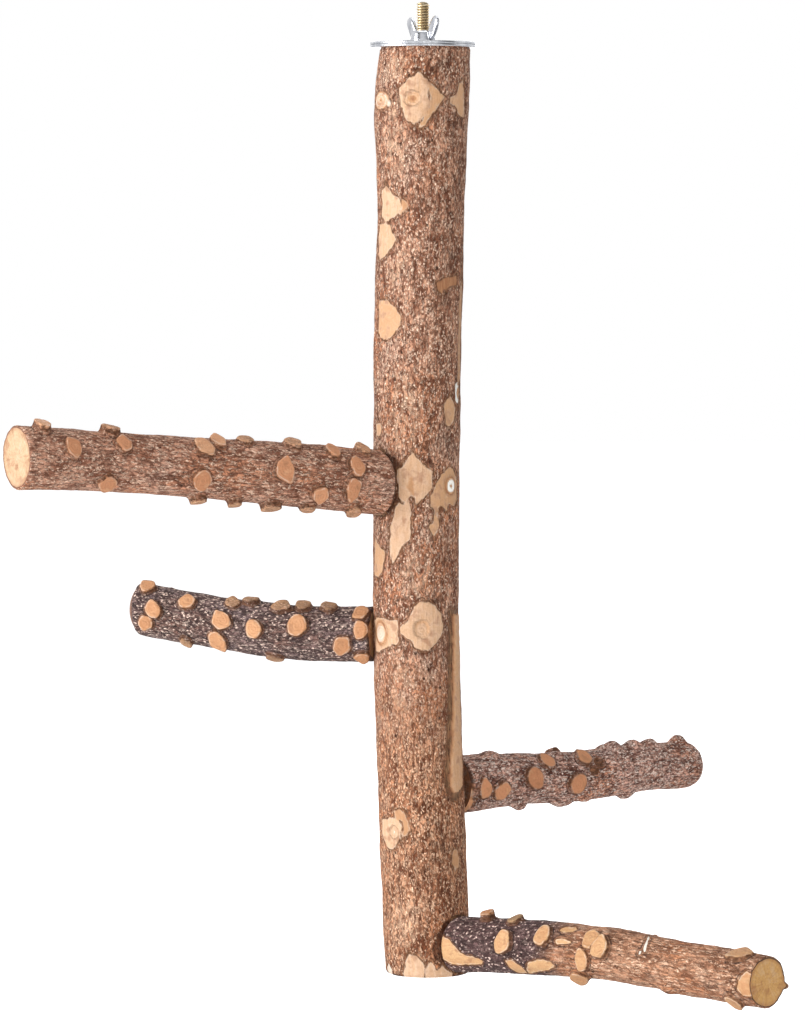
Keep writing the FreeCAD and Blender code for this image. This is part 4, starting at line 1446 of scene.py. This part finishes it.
# Tone, relief and corners (depth and angle) of each bare place
TRUNK_BARE = (
    (0.66, 0.9, ((12, 264), (14.6, 256), (17.9, 246), (19.7, 241), (24, 244), (28.3, 245), (31.6, 249), (35.4, 253),
        (37.5, 262), (35.4, 269), (32.1, 276), (27.4, 280), (21.7, 278), (17.9, 280), (15.1, 273))),
    (0.44, 0.4, ((16.1, 275), (18.4, 284), (21.7, 292), (24, 299), (26.9, 292), (30.2, 288), (33.5, 281), (36.8, 276),
        (39.1, 269), (37.7, 264), (32.6, 274), (27.4, 280), (21.7, 278))),
    (0.5, -0.3, ((17.2, 321), (15.7, 330), (34.1, 336), (31.9, 320), (28, 314), (27.3, 306), (23.5, 305),
        (22.5, 316))),
    (0.68, -0.3, ((67.8, 205), (66, 218), (68.8, 227), (70.8, 236), (72.7, 242), (76.5, 245), (79.3, 239), (81.2, 232),
        (82.6, 223), (83.1, 215), (80.7, 207))),
    (0.28, -0.2, ((71.7, 242), (72.7, 249), (75.5, 253), (78.3, 248), (80.7, 236), (76.5, 244))),
    (0.6, -0.4, ((84, 197), (83.1, 215), (84.5, 225), (87.8, 230), (91.1, 237), (94, 231), (96.9, 224), (99.7, 216),
        (101.2, 203), (99.3, 195), (89.7, 193))),
    (0.12, -0.3, ((112, 292), (110.1, 302), (109.2, 314), (107.8, 329), (113.5, 329), (114, 315), (115.8, 305),
        (117.7, 300), (115.3, 294))),
    (0.46, -0.4, ((120.7, 202), (119.7, 220), (121.6, 231), (124.4, 241), (127.7, 247), (132, 247), (134.8, 241),
        (137.2, 234), (139.7, 225), (138.8, 212), (136, 204))),
    (0.46, -0.4, ((170.1, 308), (167.3, 314), (165.5, 320), (167.9, 327), (171.8, 333), (176.6, 331), (179.4, 326),
        (181.2, 317), (178.3, 311), (174.4, 308))),
    (1.3, -0.2, ((160.3, 330), (159, 340), (165.7, 346), (170.5, 340), (168, 331))),
    (0.5, -0.2, ((179.5, 200), (178.9, 214), (182.2, 216), (185.2, 212), (185.3, 200))),
    (0.6, 0.5, ((192.3, 264), (195.2, 272), (198.1, 278), (200, 284), (201.9, 292), (209.1, 291), (211.9, 285),
        (214.3, 279), (218.1, 269), (214.2, 267), (213.8, 263), (216.7, 251), (213.9, 245), (209.6, 245), (201, 243),
        (199.1, 250), (196.6, 254))),
    (0.3, 0.0, ((204.7, 260), (203.3, 265), (207.6, 267), (212.3, 268), (214.7, 265), (211.9, 263), (209.5, 259))),
    (0.7, -0.5, ((216.3, 245), (217.6, 252), (214.3, 259), (215.2, 261), (220.9, 263), (229.5, 263), (234.3, 262),
        (236.7, 255), (240.1, 248), (244, 243), (246, 237), (242.7, 232), (237, 231), (229.8, 233), (222.6, 237),
        (218.2, 240))),
    (0.44, -0.4, ((199.8, 319), (201.5, 330), (205.5, 340), (216, 341), (219.2, 331), (217.6, 321), (220.8, 315),
        (218.8, 308), (218.3, 303), (222.5, 300), (227.3, 302), (231.1, 300), (233.5, 295), (231, 290), (228.1, 288),
        (224.8, 293), (220.1, 294), (217.6, 288), (212.9, 290), (208.2, 295), (204.4, 303), (201.6, 311))),
    (0.46, -0.4, ((234.3, 192), (237.8, 213), (240.5, 224), (245.3, 222), (250.2, 218), (253.3, 208), (252.1, 192))),
    (0.62, 1.2, ((263.4, 275), (263.5, 286), (266, 297), (270, 305), (274.8, 308), (280, 305), (283.7, 297),
        (286.5, 288), (287.3, 276), (285.4, 267), (282.1, 264), (281.2, 256), (279.3, 249), (276, 249), (273, 258),
        (269.2, 263), (265.8, 268))),
    (0.6, -0.3, ((273.9, 192), (272, 208), (272.6, 222), (272.7, 244), (276.5, 247), (282.2, 246), (284.7, 243),
        (285.8, 232), (287.5, 221), (289.4, 206), (288.3, 195), (283.6, 191))),
    (0.0, -0.6, ((268.4, 321), (268.4, 354), (312.1, 350), (345.9, 350), (355.5, 346), (359.8, 329), (359.8, 315),
        (355.6, 306), (345, 305), (330.7, 311), (311.6, 315), (292.4, 319))),
    (0.5, 0.8, ((271.5, 331), (271, 350), (312.2, 345), (346.1, 344), (353.7, 340), (356.2, 327), (356.1, 318),
        (352.8, 314), (344.1, 314), (330.8, 320), (311.7, 325), (292.6, 329))),
    (0.68, 0.6, ((369.5, 205), (368.4, 222), (367.9, 236), (369.7, 242), (373.6, 243), (377.5, 240), (381.1, 233),
        (383.7, 226), (383.1, 218), (380.4, 211), (376.9, 203))),
    (0.3, 0.3, ((368, 233), (364.7, 230), (363, 240), (364.8, 247), (369.6, 252), (373.4, 253), (376.4, 247),
        (379, 240), (373.6, 243), (369.7, 242))),
    (0.3, -0.3, ((382.8, 315), (384.1, 323), (388.1, 328), (392.9, 324), (394.9, 316), (390.4, 311), (386.1, 311))),
    (0.74, -0.4, ((433, 245), (434.3, 251), (433.7, 257), (436.1, 261), (438.9, 265), (442.3, 266), (447, 261),
        (447, 244), (447, 233), (441.4, 236), (437.5, 239))),
    (0.7, -0.4, ((436.5, 275), (439, 281), (441.9, 285), (447, 288), (447, 266), (440.8, 267), (438, 271))),
    (0.62, -0.4, ((438.6, 291), (441.2, 296), (443.4, 306), (447, 306), (447, 288), (441, 285))),
    (0.9, -0.3, ((439.4, 204), (442.4, 213), (447, 210), (447, 196), (442.3, 196))),
)
KNOT = {"relief": 0.9, "ragged": 0.7}
OVAL = {"relief": 0.1, "ragged": 0.25}
RING = {"relief": 0.05, "ragged": 0.15}
SCAR = {"relief": BARE_RELIEF, "ragged": 1.1}
# Depth, angle, half sizes across and along, tone and power of each oval mark, by kind
TRUNK_MARKS = (
    (RING, ((24.8, 259, 3.2, 3.2, 0.4), (24.8, 259, 2.7, 2.7, 0.62), (24.8, 259, 1.8, 1.6, 0.24),
        (24.8, 259, 0.7, 0.6, 0.1), (276.8, 278, 3.6, 4.0, 0.42), (277.4, 277, 2.9, 3.2, 0.62),
        (374.9, 230, 2.6, 2.8, 0.5), (374.9, 230, 2.1, 2.3, 0.7), (374.9, 230, 0.8, 0.8, 0.95))),
    (OVAL, ((25.3, 211, 6.0, 4.6, 0.1), (25.3, 211, 5.0, 3.7, 0.9), (25.3, 211, 3.4, 2.5, 0.66),
        (25.3, 211, 2.4, 1.7, 0.9), (25.3, 211, 0.9, 0.7, 0.0), (26.7, 227, 1.3, 2.0, 0.9), (64.5, 215, 1.0, 0.8, 0.0),
        (209.0, 323, 4.5, 4.5, 0.08), (209.0, 323, 3.2, 3.3, 1.3), (209.0, 323, 0.8, 0.8, 0.1),
        (279.5, 214, 5.2, 5.9, 0.06), (279.5, 214, 3.8, 4.6, 0.88))),
    (SCAR, ((137.0, 346, 3.2, 29.0, 0.3, 3.0), (170.0, 60, 3.0, 20.0, 0.62, 3.0), (345.0, 60, 3.6, 16.0, 0.6, 3.0),
        (95.0, 100, 4.5, 6.0, 0.66, 1.6))),
    (KNOT, ((53.4, 60, 8.0, 8.0, 0.6, 1.6), (133.5, 120, 7.5, 8.5, 0.62, 1.6), (224.7, 75, 9.0, 9.0, 0.6, 1.5),
        (307.0, 95, 7.0, 8.0, 0.64, 1.8), (391.6, 110, 8.0, 8.5, 0.6, 1.6))),
)
# Depth, angle, half sizes across and along, and strength of each stain: dark zones are partly stain and partly painted
# shade on the shaded side, pale ones (strength below 0) partly paler bark and partly painted light on the lit side
TRUNK_STAINS_AND_SHADE = (
    (9.4, 279, 8.0, 7.0, 0.8), (11.0, 264, 4.0, 3.0, 0.9), (34.7, 319, 8.0, 10.0, 0.8), (43.0, 276, 4.5, 9.0, 0.5),
    (60.0, 326, 8.0, 32.0, 0.55), (101.0, 317, 8.0, 26.0, 0.55), (120.0, 300, 7.0, 8.0, 0.5),
    (197.0, 287, 4.5, 3.6, 1.0), (189.5, 281, 5.0, 6.0, 0.5), (189.0, 316, 8.0, 12.0, 0.6),
    (262.0, 298, 5.0, 5.0, 0.9), (285.0, 318, 6.0, 18.0, 0.6), (268.7, 260, 2.5, 6.0, 0.6),
    (242.0, 312, 5.0, 7.0, 0.7), (383.0, 293, 9.0, 16.0, 0.5), (393.0, 279, 8.0, 6.0, 0.5),
    (431.0, 290, 4.0, 12.0, 0.7), (230.0, 213, 5.0, 9.0, 0.5), (259.0, 208, 5.0, 12.0, 0.5),
    (288.5, 279, 5.0, 2.4, 0.6), (47.6, 232, 9.0, 18.0, -0.4), (10.0, 230, 10.0, 9.0, -0.5),
    (105.0, 240, 7.0, 12.0, -0.4), (172.0, 252, 12.0, 26.0, -0.4), (417.0, 240, 12.0, 14.0, -0.5),
    (252.0, 272, 12.0, 14.0, -0.4), (27.0, 234, 6.0, 9.0, -0.6), (300.0, 250, 10.0, 20.0, -0.25),
    (150.0, 110, 12.0, 30.0, 0.5), (260.0, 60, 12.0, 26.0, 0.5), (360.0, 100, 12.0, 26.0, 0.5),
    (60.0, 120, 12.0, 24.0, 0.4),
)


def perch_place(plan: PerchPlan, order: int) -> Matrix:
    """Frame on a perch's bolt at its seat: Z runs outwards and Y is up.

    Args:
        plan: The perch.
        order: Its place down the trunk.

    Returns:
        The frame, in mm.
    """
    depth = FIRST_PERCH + order * PERCH_SPACING
    girth, sway_x, sway_y = TRUNK_RINGS[depth]
    turn = math.radians(plan.azimuth)
    outward = Vector((math.cos(turn), math.sin(turn), 0))
    spot = Vector((sway_x, sway_y, CROWN_LEVEL - depth)) + outward * (girth / 2 - SEAT_CUT)
    place = Matrix.Identity(4)
    for column, axis in enumerate((Vector((0, 0, 1)).cross(outward), Vector((0, 0, 1)), outward, spot)):
        place.col[column].xyz = axis
    return place


def build_trunk() -> Object:
    """Model the trunk.

    Returns:
        The piece.
    """
    depths = sorted(TRUNK_RINGS, reverse=True)
    girth, across, up = zip(*(TRUNK_RINGS[depth] for depth in depths))
    spine = Spine([TRUNK_LENGTH - depth for depth in depths], girth, across, up)
    patches = [Patch.drawn(tone, [(TRUNK_LENGTH - depth, angle) for depth, angle in corners], relief)
               for tone, relief, corners in TRUNK_BARE]
    patches += [Patch(TRUNK_LENGTH - depth, *rest, **kind) for kind, rows in TRUNK_MARKS for depth, *rest in rows]
    stains_and_shade = [StainAndShade(TRUNK_LENGTH - depth, *rest) for depth, *rest in TRUNK_STAINS_AND_SHADE]
    seats = [Seat(perch_place(plan, order), plan.girth[0] / 2 + SEAT_MARGIN) for order, plan in enumerate(PERCHES)]
    finish = WoodFinish(BARK_TRUNK_LOW, BARK_TRUNK, TRUNK_ORANGE, TRUNK_TAN, srgb(206, 164, 120), srgb(214, 176, 132),
                        turn=130.0, blend=35.0, middle=TRUNK_LENGTH / 2, fray=0.8, crisp=0.6, outline=0.1)
    trunk = Trunk("trunk", "trunk_assembly", "trunk_bark", Matrix.Translation((0, 0, CROWN_LEVEL - TRUNK_LENGTH)),
                  spine, Bore(End.TIP, 31.0), finish, cell=0.82, lumps=0.35, ripples=0.26, seed=11, patches=patches,
                  stains_and_shade=stains_and_shade, seats=seats)
    return trunk.build()


def build_perch(plan: PerchPlan, order: int) -> list[Object]:
    """Model one perch and the bolt in its root, and finish the insert.

    Args:
        plan: The perch.
        order: Its place down the trunk.

    Returns:
        The pieces.
    """
    place = perch_place(plan, order)
    last = len(plan.girth) - 1
    spine = Spine([plan.length * ring / last for ring in range(last + 1)], plan.girth, plan.sway, plan.rise)
    perch = Limb(f"{plan.side}_perch", f"{plan.side}_perch", f"{plan.side}_bark", place, spine, Bore(End.ROOT, 26.0),
                 plan.finish(), cell=0.55, lumps=0.45, ripples=0.3, seed=20 + order, patches=plan.patches,
                 prickles=plan.knobs, slant=plan.slant, tip_round=plan.tip_round, dome=plan.dome)
    bolt = ThreadedRod(f"{plan.side}_bolt", f"{plan.side}_bolt", place, low=-15.5, high=25.0, low_point=0.8,
                       high_point=6.0)
    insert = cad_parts[f"{plan.side}_insert"]
    insert.data.materials.clear()
    insert.data.materials.append(INSERT_ZINC.material(f"{plan.side}_insert_finish"))
    return [perch.build(), bolt.build(), insert]


def build_hardware() -> list[Object]:
    """Model the stud, the washers and the wing nut.

    Returns:
        The pieces.
    """
    stud = ThreadedRod("hanging_stud", "trunk_assembly", Matrix.Identity(4), low=-31.3, high=20.5, low_point=7.0,
                       high_point=0.9)
    lower = Washer("lower_washer", "trunk_assembly", CROWN_LEVEL)
    upper = Washer("upper_washer", "upper_washer", 0.0)
    return [stud.build(), lower.build(), upper.build(), WingNut().build()]


@dataclass(frozen=True)
class Lamp:
    """A square lamp: where it hangs, its side in metres and its power in watts."""

    name: str
    place: tuple[float, float, float]
    side: float
    power: float
    mirrored: bool = True

    def build(self, target: Vector) -> None:
        """Hang the lamp so that it faces a target.

        Args:
            target: What it faces.
        """
        light = bpy.data.lights.new(self.name, "AREA")
        light.size, light.energy = self.side, self.power
        lamp = added(self.name, light)
        lamp.location = self.place
        lamp.visible_glossy = self.mirrored
        lamp.rotation_euler = (target - Vector(self.place)).to_track_quat("-Z", "Y").to_euler()


@dataclass(frozen=True)
class Studio:
    """Floor, light and camera."""

    floor_level: float = -0.62
    floor_half: float = 9.0
    floor_cells: int = 8
    floor_mirrored: float = 0.35
    floor_glow: float = 0.75
    ambient: float = 0.45
    dim_front: float = 0.84
    lit_level: float = -0.22
    lamps: Sequence[Lamp] = (Lamp("key", (-2.0, -0.85, 0.2), 1.4, 54.0),
                             Lamp("front", (0.3, -2.3, -0.3), 0.6, 24.0, mirrored=False),
                             Lamp("top", (0.0, -0.2, 1.6), 1.4, 8.0), Lamp("back", (0.2, 2.4, 0.3), 1.2, 14.0))
    camera_place: tuple[float, float, float] = (-0.00984, -2.145, -0.0877)
    camera_dip: float = 3.668
    focal_px: float = 4469.0
    picture_px: float = 1031.0
    sensor: float = 36.0

    def build(self) -> None:
        """Set up the whole studio."""
        self._floor()
        self._world()
        for lamp in self.lamps:
            lamp.build(Vector((0, 0, self.lit_level)))
        self._camera()

    def _floor(self) -> None:
        """Lay a pale floor some way below the hanging trunk."""
        shape = bmesh.new()
        bmesh.ops.create_grid(shape, x_segments=self.floor_cells, y_segments=self.floor_cells, size=self.floor_half)
        bmesh.ops.translate(shape, verts=shape.verts, vec=(0, 0, self.floor_level))
        mesh = filled(bpy.data.meshes.new("floor"), shape, math.pi)
        graph = Graph.material("floor_finish")
        place = graph.add("ShaderNodeTexCoord", {}, {}, "Object")
        cloud = graph.cloud(place, 0.6)
        colour = graph.mix(srgb(232, 232, 232), srgb(236, 236, 236), cloud)
        camera, glossy = (graph.add("ShaderNodeLightPath", {}, {}, f"Is {kind} Ray") for kind in ("Camera", "Glossy"))
        seen = graph.math("MINIMUM", camera + glossy * self.floor_mirrored, 1.0)
        glow = graph.mix((0.0, 0.0, 0.0), (1.0, 1.0, 1.0), seen)
        mesh.materials.append(graph.finish({"Base Color": colour, "Roughness": 0.9, "Specular IOR Level": 0.1,
                                            "Emission Color": glow, "Emission Strength": self.floor_glow}, cloud, 0.0))
        floor = added("floor", mesh)

    def _world(self) -> None:
        """Surround the scene with soft white light, whose mirror image is dim beside and behind the camera."""
        graph = Graph(bpy.data.worlds.new("studio"))
        camera, glossy, clear = (graph.add("ShaderNodeLightPath", {}, {}, f"Is {kind} Ray")
                                 for kind in ("Camera", "Glossy", "Transmission"))
        seen = graph.math("MINIMUM", camera + glossy + clear, 1.0)
        towards = -graph.parts(graph.add("ShaderNodeTexCoord", {}, {}, "Generated"))[1]
        shade = glossy * (1 - camera) * towards.ramp(0.1, 0.4) * towards.ramp(0.84, 0.6) * self.dim_front
        glow = graph.add("ShaderNodeBackground", {}, {"Color": (1.0, 1.0, 1.0), "Strength":
                                                      seen * (1 - self.ambient) + self.ambient - shade})
        graph.add("ShaderNodeOutputWorld", {}, {"Surface": glow})
        bpy.context.scene.world = graph.owner

    def _camera(self) -> None:
        """Stand the camera where the photo was taken from."""
        lens = bpy.data.cameras.new("camera")
        lens.sensor_width = self.sensor
        lens.lens = self.sensor * self.focal_px / self.picture_px
        camera = added("camera", lens)
        camera.location = self.camera_place
        camera.rotation_euler = (math.radians(90 - self.camera_dip), 0, 0)
        bpy.context.scene.camera = camera


def main() -> None:
    """Build every piece and the studio, and log each piece's face count."""
    logging.basicConfig(level=logging.INFO, format="%(name)s: %(message)s")
    pieces = [build_trunk(), *build_hardware()]
    for order, plan in enumerate(PERCHES):
        pieces += build_perch(plan, order)
    for piece in pieces:
        LOG.info("%s: %d faces", piece.name, len(piece.data.polygons))
    Studio().build()
    bpy.context.scene.view_settings.view_transform = "Standard"


if __name__ == "__main__":
    main()
